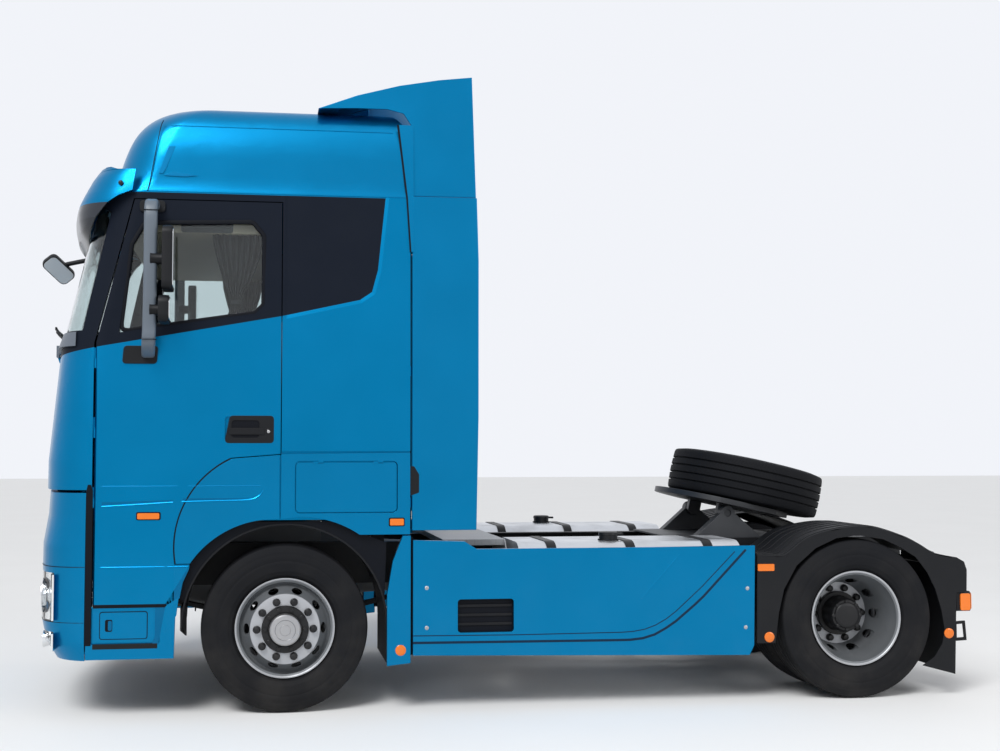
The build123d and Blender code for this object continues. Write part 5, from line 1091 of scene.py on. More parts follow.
def swollen(piece: Obj, voxel: float, cap: float) -> Obj:
    """Pad out a closed form as stuffed cloth.

    Args:
        piece: The form.
        voxel: Size of the remesh in mm.
        cap: Farthest that a point may move, in mm.

    Returns:
        The padded form.
    """
    last_frame = 20
    modifier(piece, "REMESH", mode="VOXEL", voxel_size=voxel / 1000)
    plain_mesh(piece)
    piece.data.shade_smooth()
    start = [v.co.copy() for v in piece.data.vertices]
    cloth = modifier(piece, "CLOTH")
    cloth.settings.use_pressure = True
    cloth.settings.uniform_pressure_force = 4.0
    cloth.settings.effector_weights.gravity = 0.0
    cloth.settings.quality = 5
    cloth.point_cache.frame_start = 1
    cloth.point_cache.frame_end = last_frame
    for now in range(1, last_frame + 1):
        bpy.context.scene.frame_set(now)
    plain_mesh(piece)
    for vert, old in zip(piece.data.vertices, start):
        gone = vert.co - old
        if gone.length > cap / 1000:
            vert.co = old + gone * (cap / 1000 / gone.length)
    bpy.context.scene.frame_set(1)
    modifier(piece, "SMOOTH", factor=0.5, iterations=4)
    plain_mesh(piece)
    piece.data.shade_smooth()
    return piece


@dataclass
class Wheels:
    """Tyres, rims and hubs of the axles and the spare wheel; sections are distance along the axle and radius.

    Attributes:
        tyre_r: Outer radius of a tyre in mm.
        spare_r: Outer radius of the spare's tyre.
        bead_r: Radius of the bead seat.
        wall_foot: Radius up to which every tyre's section is the same.
        front_y: y of the middle of the left front wheel.
        rear_y: y of the middles of the left rear hub, outer wheel and inner wheel.
        disc: Distance of the disc's face from the rim's middle.
        nut_circle: Radius of the circle of nuts.
        nuts: Nuts on a wheel, and hand holes.
        hole_circle: Radius of the circle of hand holes.
        hole: Half width and half height of a hand hole in metres.
        disc_edge: Where the disc's bright face starts along the axle, and its outer radius, in metres.
        bright_rim: Radius in metres from which the rim's flanges take the lighter silver; the barrel inside it is
            darker, as painted shade.
        lean: Lean of the spare wheel in degrees.
        nut: Section of a nut with its cap.
        bolt: Section of a small bolt.
        tyre_half: Section of half a tyre.
        rim: Section of the rim.
    """

    tyre_r: float = 502.0
    spare_r: float = 538.0
    bead_r: float = 286.0
    wall_foot: float = 318.0
    front_y: float = -1030.0
    rear_y: Triple = (-913.0, -1088.0, -738.0)
    disc: float = 175.0
    nut_circle: float = 167.5
    nuts: int = 10
    hole_circle: float = 228.0
    hole: Pair = (0.017, 0.033)
    disc_edge: Pair = (0.161, 0.2085)
    bright_rim: float = 0.284
    lean: float = 12.5
    nut: tuple[Pair, ...] = ((0, 0), (0, 24), (5, 24), (6, 22), (26, 21), (32, 17), (35, 9), (35.5, 0))
    bolt: tuple[Pair, ...] = ((0, 0), (0, 13), (9, 13), (11, 10), (11, 0))
    tyre_half: tuple[Pair, ...] = (
        (0, 286.2), (114, 286.2), (119, 305), (133, 312), (139, 316), (143, 322), (146, 333), (150.5, 338),
        (151.5, 344), (154, 360), (156.5, 384), (157, 396), (155.6, 399), (155.6, 403), (156.8, 406), (155.5, 424),
        (153.5, 440), (152, 444), (152.5, 449), (149, 462), (145.5, 474), (143, 482), (141.5, 488), (137, 492.5),
        (131, 495), (118, 497.4), (84.5, 499.4), (82, 488.5), (74, 488.5), (71.5, 499.7), (33.5, 501.3),
        (31, 489.5), (23, 489.5), (20.5, 501.6), (0, 502))
    rim: tuple[Pair, ...] = (
        (-130, 290), (-130, 298), (-121, 298), (-116, 288), (-100, 286), (-82, 280), (-50, 262), (-30, 252),
        (40, 252), (60, 262), (82, 280), (100, 286), (116, 288), (121, 297), (125, 298), (130, 297.5), (130.5, 292),
        (126, 286), (122, 274.5), (112, 272), (92, 268), (85, 262), (90, 252), (112, 240), (133, 229), (150, 219),
        (162, 213), (170, 209), (174, 206), (175, 202), (175, 134), (163, 134), (163, 199), (152, 206), (135, 214),
        (90, 228), (45, 240), (-34, 240), (-84, 266), (-112, 272), (-122, 275), (-126, 286))

    def tyre(self, name: str, centre: Vector, axis: Vector, outer: float) -> Obj:
        """Tyre with grooves round the tread and rings on the sidewalls."""
        growth = (outer - self.bead_r) / (self.tyre_r - self.bead_r)
        half = [(a, r if r < self.wall_foot else self.bead_r + (r - self.bead_r) * growth) for a, r in self.tyre_half]
        profile = [*half, *[(-a, r) for a, r in reversed(half[1:-1])]]
        return lathe(name, profile, centre, axis, TYRE, 128, closed=True, uv=True, sharp=40)

    def rim_form(self) -> Obj:
        """Rim about the Z axis with its disc up, hand holes cut through the cone."""
        steps, sharp = 20, 38
        rim = lathe("rim_form", self.rim, Vector(), UP, RIM_BARREL_SHADE, 120, closed=True, sharp=sharp)
        # The barrel takes the darker rim finish as painted shade; the disc's face and the flanges take the lighter
        # silver.
        rim.data.materials.append(DISC.material())
        for face in rim.data.polygons:
            reach = math.hypot(face.center.x, face.center.y)
            on_disc = face.center.z > self.disc_edge[0] and reach < self.disc_edge[1]
            face.material_index = int(on_disc or reach > self.bright_rim)
        hole = bmesh.new()
        low, high = [[hole.verts.new((self.hole[0] * math.cos(t), self.hole[1] * math.sin(t), z))
                      for t in turns(steps)] for z in (0.05, 0.22)]
        for k in range(steps):
            after = (k + 1) % steps
            hole.faces.new((low[k], low[after], high[after], high[k]))
        hole.faces.new(low)
        hole.faces.new(high)
        tool = settle("hand_hole", hole, RIM_BARREL_SHADE)
        holes = REPEATS.ring("hand_holes", tool, self.nuts, self.hole_circle, Vector(), UP, RIM_BARREL_SHADE)
        modifier(rim, "BOOLEAN", operation="DIFFERENCE", solver="EXACT", object=holes)
        plain_mesh(rim)
        drop(tool, holes)
        rim.data.set_sharp_from_angle(angle=math.radians(sharp))
        return rim

    def placed(self, name: str, form: Obj, centre: Vector, axis: Vector) -> Obj:
        """Copy of a form about Z, set about another axis."""
        mesh = form.data.copy()
        mesh.transform(Matrix.Translation(centre) @ UP.rotation_difference(axis).to_matrix().to_4x4())
        return new_object(name, mesh)

    def ring(self, tool: Obj, count: int, radius: float, centre: Vector, face: float) -> Obj:
        """Ring of nuts or bolts on a face of a left wheel; the tool is used up."""
        made = REPEATS.ring("ring", tool, count, radius, centre + LEFT * face / 1000, LEFT, NUT)
        drop(tool)
        return made

    def front(self, rim: Obj) -> None:
        """Front wheels: a rim with its disc outside, hub with bolts and a bright cap, brake disc."""
        centre, bodies = point(0, self.front_y, AXLE_Z), (Body.FRONT_LEFT, Body.FRONT_RIGHT)
        tyre = self.tyre("front_tyre", centre, LEFT, self.tyre_r)
        wheel = joined("front_wheel", [
            self.placed("rim", rim, centre, LEFT),
            lathe("hub", ((145, 0), (145, 171), (162, 171), (163, 141), (186, 140), (189, 137), (189, 104),
                          (184, 101), (184, 94), (190, 93), (212, 92), (228, 88), (233, 82), (234, 62), (229, 60),
                          (229, 30), (232, 28), (232, 0)), centre, LEFT, NUT, 72),
            lathe("cap", ((190, 94.5), (229, 91), (235.5, 84), (237, 62), (231, 58), (231, 32), (234, 30), (234, 0)),
                  centre, LEFT, STEEL, 72),
            lathe("brake", ((-45, 60), (-45, 215), (-12, 215), (-12, 190), (0, 190), (0, 215), (0, 78), (145, 78),
                            (145, 60)), centre, LEFT, CAST, 72, closed=True),
            self.ring(tool_piece(self.nut, UP, 12), self.nuts, self.nut_circle, centre, self.disc),
            self.ring(tool_piece(self.bolt, UP), 10, 119, centre, 189)])
        pair(wheel, "front_wheel_rim", bodies, RIM_BARREL_SHADE, "front_wheel")
        pair(tyre, "front_tyre_tread", bodies, TYRE, "front_tyre")

    def rear(self, rim: Obj) -> None:
        """Twin rear wheels: dished outer rim, inner rim, and the drive hub between them."""
        hub, outer, inner = [point(WHEELBASE, y, AXLE_Z) for y in self.rear_y]
        bodies = (Body.REAR_LEFT, Body.REAR_RIGHT)
        wheels = joined("rear_wheels", [
            self.placed("outer", rim, outer, -LEFT), self.placed("inner", rim, inner, LEFT),
            lathe("hub", ((-167, 60), (-167, 120), (-5, 120), (-5, 141), (40, 141), (44, 138), (44, 116), (60, 113),
                          (120, 112), (150, 106), (164, 97), (166, 84), (175, 82), (180, 76), (183, 60), (183, 0)),
                  hub, LEFT, NUT, 72),
            lathe("drum", ((-258, 60), (-258, 215), (-213, 215), (-213, 60)), hub, LEFT, CAST, 72, closed=True),
            self.ring(tool_piece(self.nut, UP, 12), self.nuts, self.nut_circle, hub, 12),
            self.ring(tool_piece(self.bolt, UP), 8, 90, hub, 164)])
        tyres = joined("rear_tyres", [self.tyre("tyre", middle, LEFT, self.tyre_r) for middle in (outer, inner)])
        pair(wheels, "rear_wheel_rims", bodies, RIM_BARREL_SHADE, "rear_wheels")
        pair(tyres, "rear_tyre_treads", bodies, TYRE, "rear_tyres")

    def spare(self, rim: Obj) -> None:
        """Spare wheel lying on the coupling plate."""
        tilt = math.radians(self.lean)
        up, back = Vector((math.sin(tilt), 0, math.cos(tilt))), Vector((math.cos(tilt), 0, -math.sin(tilt)))
        centre = point(3050, 0, 1130) + up * 0.252 + back * 0.232
        fit(self.tyre("spare_tyre_tread", centre, up, self.spare_r), Body.COUPLING, TYRE, "spare_tyre")
        fit(self.placed("spare_rim_dressed", rim, centre, up), Body.COUPLING, RIM_BARREL_SHADE, "spare_rim")

    def build(self) -> None:
        """Build every wheel from one rim form."""
        rim = self.rim_form()
        self.front(rim)
        self.rear(rim)
        self.spare(rim)
        drop(rim)


@dataclass
class Cab:
    """Cab body, roof, visor, bumper and the panels round them.

    Attributes:
        visor_levels: Heights of the visor's rows of points.
        visor_nose: Height, x of the nose and half width of the visor.
        visor_rear: Height and x of the visor's rear edge.
        lip_top: Height where the visor's smoked lip ends.
        band_top: Height where its dark band ends.
        visor_thick: Thickness of the visor.
        arch: Three points of the crease over the front wheel, x and z.
        mirror: Middle of the front mirror, the direction across it and the one it faces.
    """

    visor_levels: tuple[float, ...] = (2790, 2835, 2879, 2915, 2951, 2990, 3036, 3058, 3080, 3095, 3110, 3150, 3195,
                                       3237, 3243, 3262, 3280, 3296, 3304)
    visor_nose: tuple[Triple, ...] = (
        (2780, -1262, 1237), (2880, -1345, 1253), (2973, -1364, 1260), (3050, -1354, 1262), (3130, -1316, 1262),
        (3210, -1272, 1258), (3270, -1226, 1253), (3312, -1150, 1245))
    visor_rear: tuple[Pair, ...] = (
        (2790, -1210), (2879, -1168), (2951, -1134), (3036, -1062), (3080, -995), (3110, -917), (3237, -900),
        (3243, -1010), (3304, -1140))
    lip_top: float = 2951.0
    band_top: float = 3036.0
    visor_thick: float = 22.0
    arch: tuple[Pair, Pair, Pair] = ((-645, 902), (-504, 1386), (-330, 1516))
    mirror: tuple[Triple, Triple, Triple] = ((-1645, 850, 2903), (0.615, 0.535, -0.579), (0.15, -0.8, -0.58))

    def shell(self) -> None:
        """Cab panels with eased edges."""
        for node, finish, body, bevel in (
                ("cab_shell", BANDED, Body.CAB, 3.0), ("high_roof", PAINT, Body.CAB, 6.0),
                ("cowl", GREY, Body.CAB, 4.0), ("bumper", PAINT, Body.CAB, 4.0),
                ("roof_deflector", PAINT, Body.CAB, 5.0), ("side_fairings", PAINT, Body.CAB, 4.0),
                ("side_panels", PAINT, Body.CAB, 3.0), ("fender_strips", PAINT, Body.CHASSIS, 3.0),
                ("front_flap", PAINT, Body.FLAP, 4.0), ("steps", TREAD, Body.CAB, 2.0)):
            eased(node, finish, body, bevel)

    def visor(self) -> None:
        """Sun visor: blue above, a glossy dark band, and a smoked lip that wraps the corners."""
        thick = self.visor_thick
        rows, inner = [], []
        for z in self.visor_levels:
            nose, half, rear = between(self.visor_nose, z), between(self.visor_nose, z, 2), between(self.visor_rear, z)
            rows.append(plan_line(z, nose, half, rear))
            inner.append(plan_line(z, nose + thick, half - thick, rear, CORNER_R - thick))
        pick = [2 if z < self.lip_top else 1 if z < self.band_top else 0 for z in self.visor_levels[:-1]]
        visor = shell("sun_visor_dressed", rows, inner, (PAINT, VISOR_TINT, SMOKE), pick, 50)
        screws = [lathe("screw", ((-4, 0), (-4, 15), (4, 14), (7, 8), (7, 0)), point(-985, side.y * 1263, 3150), side,
                        NUT, 20) for side in (LEFT, RIGHT)]
        fit(joined("sun_visor_dressed", [visor, *screws]), Body.CAB, PAINT, "sun_visor")

    def front_mirror(self) -> None:
        """Mirror over the right corner of the windscreen, on its short arm."""
        head = prism("head", rounded(243, 134, 40), "z", -30, 16, BLACK, 12.0)
        glass = prism("glass", rounded(226, 117, 34), "z", 15, 18, MIRROR_PAINTED_REFLECTION, 1.0)
        arm = bead("arm", ((-1640, 862, 2925), (-1600, 866, 2943), (-1450, 866, 2978), (-1300, 866, 3012)), 17, BLACK,
                   6, 14)
        fit(joined("front_mirror_dressed", [aimed(head, *self.mirror), aimed(glass, *self.mirror), arm]), Body.CAB,
            SLATE, "front_mirror")

    def side_lines(self) -> None:
        """Creases and seams of the cab's side, the strip ahead of the door, the tail behind it, and the door's."""
        seam = ((-831, -1229, 3113), (-812, -1224, 3210), (-790, -1219, 3340), (-776, -1214, 3420),
                (-760, -1192, 3515), (-748, -1172, 3553))
        curl = ((-612, -1244, 1264), (-420, -1244, 1268), (-225, -1244, 1273), (-160, -1244, 1296), (-136, -1243, 1330))
        # The SHADOWED pieces are painted shade: the roof side's slot and sill, the fold below the tail, the step under
        # the upper crease (reach) and the band over the lower one (shade).
        both("cab_side_lines", [
            plate("strip", ((-1158, 432), (-1121, 432), (-1121, 1330), (-1132, 1366), (-1150, 1366), (-1158, 1330)),
                  -1247.5, -1243, SEAL, 1.5),
            plate("tail", ((-705, 896), (-562, 896), (-565, 868), (-600, 790), (-617, 700), (-645, 672), (-705, 662)),
                  -1243.5, -1215, PAINT, 5.0),
            bead("roof_seam", seam, 2.6, SEAL),
            leaned(plate("slot", ((-712, 3387), (-672, 3387), (-729, 3243), (-745, 3218), (-768, 3222)), -1230.5,
                         -1226, SHADOWED, 1.0)),
            leaned(plate("sill", ((-738, 3208), (-690, 3230), (-600, 3222), (-540, 3212), (-620, 3203)), -1230.5,
                         -1226, SHADOWED, 1.0)),
            bead("ridge", [(x, -1194.5, 3520) for x in (-700, -400, 0, 300, 640)], 2.4, PAINT, 2),
            plate("fold", ((-702, 664), (-566, 884), (-570, 866), (-602, 790), (-619, 702), (-647, 674), (-690, 664)),
                  -1245, -1240, SHADOWED, 1.0),
            bead("level", [(x, -1244, 884) for x in (-690, -620, -572)], 4.5, PAINT, 2),
            bead("reach", [(x, -1243.6, 1356) for x in (-572, -400, -150)], 2.6, SHADOWED, 2),
            bead("curl", curl, 5.5, PAINT),
            plate("shade", ((-606, 1284), (-606, 1272), (-400, 1274), (-240, 1279), (-200, 1284)), -1245.5, -1242,
                  SHADOWED, 0.6),
            ribbon("arch", arc_of(self.arch, 22), -1243.2, rounded(8, 5, 2, steps=3), SEAL),
            *[sweep("bumper_line", [point(*p) for p in plan_line(z, nose, 1245, -1162)[:10]], circle(2.2, 8), SEAL)
              for z, nose in ((887, -1534), (565, -1532))]], Body.CAB, PAINT)
        # Painted shade on the doors too: the SHADOWED bead under the upper crease (over) and the band over the lower
        # one (dim).
        pair(joined("door_lines", [
            bead("crease", [(x, -1244, 884) for x in (-1070, -900, -705)], 4.5, PAINT, 2),
            bead("under", [(x, -1244, z) for x, z in ((-1070, 1238), (-900, 1247), (-660, 1261))], 5, PAINT, 3),
            bead("over", [(x, -1243.6, 1356) for x in (-1070, -900, -640)], 2.6, SHADOWED, 2),
            plate("dim", ((-1070, 1263), (-1070, 1245), (-900, 1254), (-660, 1269), (-660, 1276)), -1246.5, -1242,
                  SHADOWED, 0.6)]), "door_lines", DOORS, PAINT)

    def step_box(self) -> None:
        """Pocket in the lower side with the cover of the step, its pull, and the tread below."""
        # Painted shade: the dark band under the door's lower edge (top), the dark patch of the pull's recess (hole),
        # and the SHADOWED pocket wall and pull.
        both("step_boxes", [
            plate("floor", rounded(394, 212, 15, (-928, 545)), -1226.5, -1224.5, PAINT, 0.5),
            plate("seam", rounded(276, 162, 16, (-938, 545)), -1228, -1226, SEAL, 0.3),
            plate("cover", rounded(267, 153, 13, (-938, 545)), -1231, -1226.5, PAINT, 2.0),
            plate("hole", rounded(42, 70, 10, (-1022, 545)), -1232, -1228, SEAL, 0.6),
            plate("pull", rounded(22, 56, 7, (-1015, 545)), -1234, -1231, SHADOWED, 1.5),
            plate("top", ((-1112, 648), (-700, 648), (-690, 662), (-700, 668), (-1112, 668)), -1247, -1232, SEAL, 1.0),
            plate("wall", ((-757, 648), (-700, 648), (-736, 434), (-770, 434), (-770, 452), (-757, 470)), -1245.8,
                  -1228, SHADOWED, 1.5),
            plate("lit", ((-699, 655), (-622, 705), (-628, 655), (-634, 600), (-702, 500), (-712, 560)), -1246, -1240,
                  PAINT, 3.0),
            plate("tread", box(-1112, 411, -742, 440), -1247, -1232, BLACK, 2.0)], Body.CAB, PAINT)

    def trim(self) -> None:
        """Covers on the roof, the dark strip at the bumper's corner, markers, and the fairing's seals and latch."""
        both("roof_covers", [lathe("cover", ((-8, 0), (-8, 34), (12, 32), (20, 22), (22, 0)), point(x, -960, 3650), UP,
                                   GREY, 24) for x in (-320, 30, 190)], Body.CAB, GREY)
        both("corner_strips", [plate("strip", box(-1157, 395, -1119, 1360), -1224, -1221, SEAL, 0.5)], Body.CAB, SEAL)
        both("rear_side_markers", [
            plate("case", rounded(96, 52, 8, (663, 1135)), -1250, -1244, SEAL, 1.5),
            plate("lens", rounded(84, 40, 6, (663, 1135)), -1258, -1249, AMBER, 2.5)], Body.CAB, AMBER)
        both("fairing_seals", [
            plate("seal", box(746, 1090, 757, 3560), -1200, -1185, SEAL, 1.0),
            plate("latch", soft_corners(((742, 1290), (800, 1310), (800, 1420), (770, 1470), (742, 1470)), 12), -1238,
                  -1206, BLACK, 3.0),
            leaned(plate("wedge", ((672, 3566), (727, 3110), (748, 2776), (764, 2776), (764, 3566)), -1233, -1229,
                         PAINT, 1.0)),
            leaned(plate("slit", ((662, 3566), (719, 3110), (741, 2776), (750, 2776), (729, 3110), (675, 3566)), -1234,
                         -1228, SEAL, 1.0))], Body.CAB, SEAL)

    def lamps(self) -> None:
        """Reflectors and housings behind the clear lenses, and the lenses' finish."""
        refinish(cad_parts["headlamps"], LENS)
        ahead = Vector((-1, 0, 0))
        parts = []
        for x, y, z, r in ((-1425, -1010, 708, 95), (-1448, -790, 708, 105), (-1420, -1010, 448, 45)):
            bowl = ((-70, 0), (-68, r * 0.25), (-55, r * 0.55), (-30, r * 0.8), (0, r), (2, r * 1.1), (-3, r * 1.1),
                    (-34, r * 0.88), (-75, r * 0.4), (-78, 0))
            bulb = ((-66, 0), (-66, 12), (-30, 12), (-22, 6), (-20, 0))
            parts.append(lathe("bowl", bowl, point(x, y, z), ahead, CHROME, 40))
            parts.append(lathe("bulb", bulb, point(x, y, z), ahead, DISC, 20))
        for low, high in ((575, 842), (398, 500)):
            parts.append(plate("back", box(-1352, low, -1340, high), -1200, -650, CHROME))
        both("headlamp_insides", parts, Body.CAB, CHROME)

    def screen(self) -> None:
        """Windscreen's finish, and two wipers."""
        refinish(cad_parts["windscreen"], WINDOW)
        wipers = []
        for y in (-90, 760):
            arm = arc_points(((-1440, y, 2278), (-1438, y - 150, 2290), (-1432, y - 400, 2300), (-1424, y - 560, 2306)))
            blade = arc_points(((-1430, y - 180, 2304), (-1425, y - 500, 2312), (-1400, y - 780, 2312)))
            wipers.append(sweep("arm", arm, rounded(18, 8, 3, steps=3), BLACK))
            wipers.append(sweep("blade", blade, rounded(12, 20, 4, steps=3), BLACK))
        fit(joined("wipers", wipers), Body.CAB, BLACK)

    def build(self) -> None:
        """Build the cab's outside."""
        self.shell()
        self.visor()
        self.front_mirror()
        self.side_lines()
        self.step_box()
        self.trim()
        self.lamps()
        self.screen()


@dataclass
class Doors:
    """Doors with their windows, handles, lamps and mirrors.

    Attributes:
        window: Corners of the window's opening.
        arm: Points of the mirror's arm.
    """

    window: tuple[Pair, ...] = ((-985, 2262), (-190, 2385), (-135, 2440), (-135, 2860), (-205, 2945), (-850, 2925),
                                (-925, 2790))
    arm: tuple[Triple, ...] = ((-795, -1240, 3018), (-795, -1290, 3022), (-795, -1375, 3012), (-795, -1418, 2960),
                               (-795, -1422, 2850), (-795, -1422, 2560), (-797, -1422, 2300), (-800, -1418, 2210),
                               (-806, -1360, 2160), (-812, -1290, 2138), (-815, -1240, 2132))

    def panels(self) -> None:
        """Door skins, glass, and the rubber seal round each window."""
        for side, body in zip(("left", "right"), DOORS):
            eased("door_" + side, BANDED, body)
            refinish(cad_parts["door_glass_" + side], WINDOW)
        path = [point(x, -1228, z) for x, z in grown(soft_corners(self.window, 45), -6)]
        seal = sweep("window_seal", path, rounded(26, 18, 6, steps=4), SEAL, closed=True, up=RIGHT)
        pair(seal, "window_seal", DOORS, SEAL)

    def handles(self) -> None:
        """Handle in its black recess with a keyhole, and the marker lamp low on the door."""
        key = point(-107, SKIN, 1678)
        handle = joined("handle", [
            plate("cup", soft_corners(((-367, 1609), (-75, 1609), (-75, 1773), (-335, 1773)), 24), -1247, -1243, BLACK,
                  2.0, holes=[rounded(164, 103, 18, (-243, 1693))]),
            plate("floor", rounded(180, 112, 18, (-243, 1693)), -1242, -1236, SEAL, 1.0),
            plate("grip", rounded(209, 41, 8, (-237, 1680)), -1252, -1228, BLACK, 5.0),
            plate("posts", rounded(60, 60, 12, (-292, 1692)), -1230, -1212, SEAL, 3.0),
            lathe("key", ((0, 0), (0, 9), (3, 9), (4, 7), (4, 0)), key, LEFT, STEEL, 20),
            lathe("key_base", ((-6, 0), (-6, 17), (0, 17), (1, 15), (1, 0)), key, LEFT, BLACK, 24)])
        pair(handle, "door_handle", DOORS, BLACK)
        lamp = joined("lamp", [plate("case", rounded(142, 48, 10, (-802, 1181)), -1249, -1243, SEAL, 1.5),
                               plate("lens", rounded(128, 36, 8, (-802, 1181)), -1260, -1248, AMBER, 3.0)])
        pair(lamp, "door_marker_lamp", DOORS, AMBER)

    def mirrors(self) -> None:
        """Mirror arm as one bent tube between its pads, with two heads and their glass."""
        ahead = Vector((1, 0, 0))
        parts = [sweep("arm", arc_points(self.arm, 5), rounded(44, 78, 18), ARM_GREY, up=ahead),
                 plate("pad", rounded(150, 70, 22, (-800, 3018)), -1246, -1222, BLACK, 5.0),
                 plate("foot", rounded(200, 106, 20, (-860, 2130), lean=8), -1260, -1243, BLACK, 5.0)]
        for z in (2960, 2205):
            parts.append(plate("joint", box(-836, z, -754, z + 3), -1448, -1396, SEAL, 1.0))
        for x, low, high in ((-690, 2490, 2865), (-708, 2300, 2460)):
            middle, height = (low + high) / 2, high - low
            head = rounded(226, height, 48, (-1425, middle), 7)
            glass = rounded(196, height - 34, 36, (-1425, middle), 7)
            parts.append(prism("shell", head, "x", x - 34, x + 28, BLACK, 16.0))
            parts.append(prism("glass", glass, "x", x + 26, x + 31, MIRROR, 1.5))
            parts.append(lathe("boss", ((0, 0), (0, 36), (60, 32), (92, 40), (92, 0)), point(-795, -1424, middle),
                               ahead, BLACK, 28))
        pair(joined("mirror", parts), "mirror_unit", DOORS, SLATE, "mirror")

    def build(self) -> None:
        """Build both doors."""
        self.panels()
        self.handles()
        self.mirrors()


@dataclass
class Chassis:
    """Frame, axles, tanks, skirts, mudguards and lamps.

    Attributes:
        screws: Places of the skirt's screws, x and z.
        guard_line: Line over the rear wheel, as x from its axle and z.
        guard_outer: Outer edge of the rear guard's side, x and z.
        guard_inner: Its edge along the tyre.
    """

    screws: tuple[Pair, ...] = ((846, 737), (846, 498), (2867, 704), (2853, 463))
    guard_line: tuple[Pair, ...] = ((-665, 908), (-570, 903), (-476, 908), (-329, 1010), (-148, 1062), (80, 1078),
                                    (307, 1014), (430, 955), (512, 908), (632, 880))
    guard_outer: tuple[Pair, ...] = ((2927, 362), (2935, 908), (3124, 900), (3271, 1010), (3452, 1068), (3680, 1083),
                                     (3907, 1020), (4112, 908), (4274, 880), (4324, 852), (4342, 800), (4338, 664),
                                     (4268, 654), (4249, 140), (4027, 199))
    guard_inner: tuple[Pair, ...] = ((4109, 251), (4164, 335), (4182, 420), (4162, 549), (4124, 678), (4070, 787),
                                     (3995, 884), (3885, 951), (3775, 1000), (3605, 1027), (3463, 1010), (3322, 948),
                                     (3195, 841), (3109, 694), (3073, 548), (3048, 360))

    def running_gear(self) -> None:
        """CAD nodes whose forms stay, with their finishes."""
        for node, finish, body in (
                ("frame", SATIN, Body.CHASSIS), ("front_axle", CAST, Body.CHASSIS), ("suspension", SATIN, Body.CHASSIS),
                ("rear_axle", CAST, Body.CHASSIS), ("engine", ENGINE_GREY, Body.CHASSIS),
                ("gearbox", ENGINE_GREY, Body.CHASSIS), ("driveshaft", SATIN, Body.CHASSIS),
                ("tank_brackets", SATIN, Body.CHASSIS), ("deck", DECK, Body.CHASSIS),
                ("fifth_wheel_base", BASE_GREY, Body.CHASSIS), ("fifth_wheel_plate", COUPLING_PAINT, Body.COUPLING),
                ("knuckle_left", CAST, Body.LEFT_KNUCKLE), ("knuckle_right", CAST, Body.RIGHT_KNUCKLE),
                ("tie_rod", CAST, Body.TRACK_ROD)):
            eased(node, finish, body, 2.0)

    def tanks(self) -> None:
        """Tanks with rolled ends, and their filler caps."""
        eased("fuel_tanks", TANK, Body.CHASSIS, 10.0, 40.0)
        cap = lathe("cap", ((0, 0), (0, 66), (10, 66), (12, 58), (34, 58), (36, 62), (52, 60), (56, 50), (56, 0)),
                    point(2040, -1000, 994), UP, NUT, 40)
        ear = plate("ear", box(2090, 1026, 2136, 1040), -1014, -986, NUT, 3.0)
        both("tank_caps", [cap, ear], Body.CHASSIS, NUT)

    def skirts(self) -> None:
        """Skirts: moulded lines as dark strips of painted shade, a raised crease, screws and the step opening."""
        eased("side_skirts", PAINT, Body.CHASSIS)
        both("skirt_lines", [
            ribbon("groove", resampled(line, 30), SKIN, rounded(width, 1.6, 0.6, steps=2), finish)
            for width, finish, line in (
                (6, GROOVE_SHADE, ((763, 452), (1393, 446), (2065, 448), (2150, 453), (2233, 470), (2320, 510), (2400, 568),
                             (2569, 716), (2788, 934))),
                (15, GROOVE_SHADE, ((763, 410), (2100, 400), (2200, 410), (2290, 438), (2400, 508), (2563, 640),
                              (2860, 945))),
                (8, PAINT, ((2185, 654), (2431, 921))))], Body.CHASSIS, GROOVE_SHADE)
        # The dark plate behind the step opening is painted shade in its depth; the bars in front of it are real.
        both("skirt_steps", [
            plate("back", box(1015, 445, 1400, 685), -1214, -1208, SEAL, 1.0),
            *[plate("bar", box(1040, z, 1375, z + 16), -1222, -1210, BLACK, 3.0) for z in (505, 560, 615)]],
            Body.CHASSIS, BLACK)
        screw = tool_piece(((0, 0), (0, 12), (2.5, 12), (5, 7), (5, 4), (3, 3.5), (3, 0)), LEFT, 20)
        rows = [REPEATS.row("screw", screw, 1, point(x, SKIN, z), Vector(), STEEL) for x, z in self.screws]
        drop(screw)
        both("skirt_screws", rows, Body.CHASSIS, STEEL)

    def lamps(self) -> None:
        """Tail lamps with amber and red lenses, reflectors and marker lamps."""
        both("tail_lamp_units", [
            prism("case", rounded(430, 128, 20, (-1015, 597)), "x", 4276, 4374, BLACK, 4.0),
            *[prism("lens", rounded(width, 108, 14, (y, 597)), "x", 4372, 4386, finish, 5.0)
              for y, width, finish in ((-1170, 96, AMBER), (-1060, 100, RED), (-950, 96, LENS), (-855, 74, RED))],
            plate("side", rounded(68, 108, 12, (4332, 594)), -1240, -1228, AMBER, 4.0)], Body.CHASSIS, RED,
            "tail_lamps")
        both("side_reflectors", [
            *[lathe("reflector", ((-2, 0), (-2, 32), (4, 32), (6, 29), (7, 16), (8, 0)), point(x, y, z), LEFT, AMBER,
                    32) for x, y, z in ((3007, SKIN, 399), (4209, SKIN, 399), (688, SKIN + 2, 368))],
            plate("marker", rounded(108, 44, 6, (2990, 832)), -1254, -1244, AMBER, 3.0)], Body.CHASSIS, AMBER)

    def rod(self, x: float, z: float, length: float) -> Obj:
        """Round stay that reaches outwards from the frame."""
        return lathe("rod", ((0, 0), (0, 16), (length, 16), (length, 0)), point(x, -430, z), LEFT, SATIN, 20)

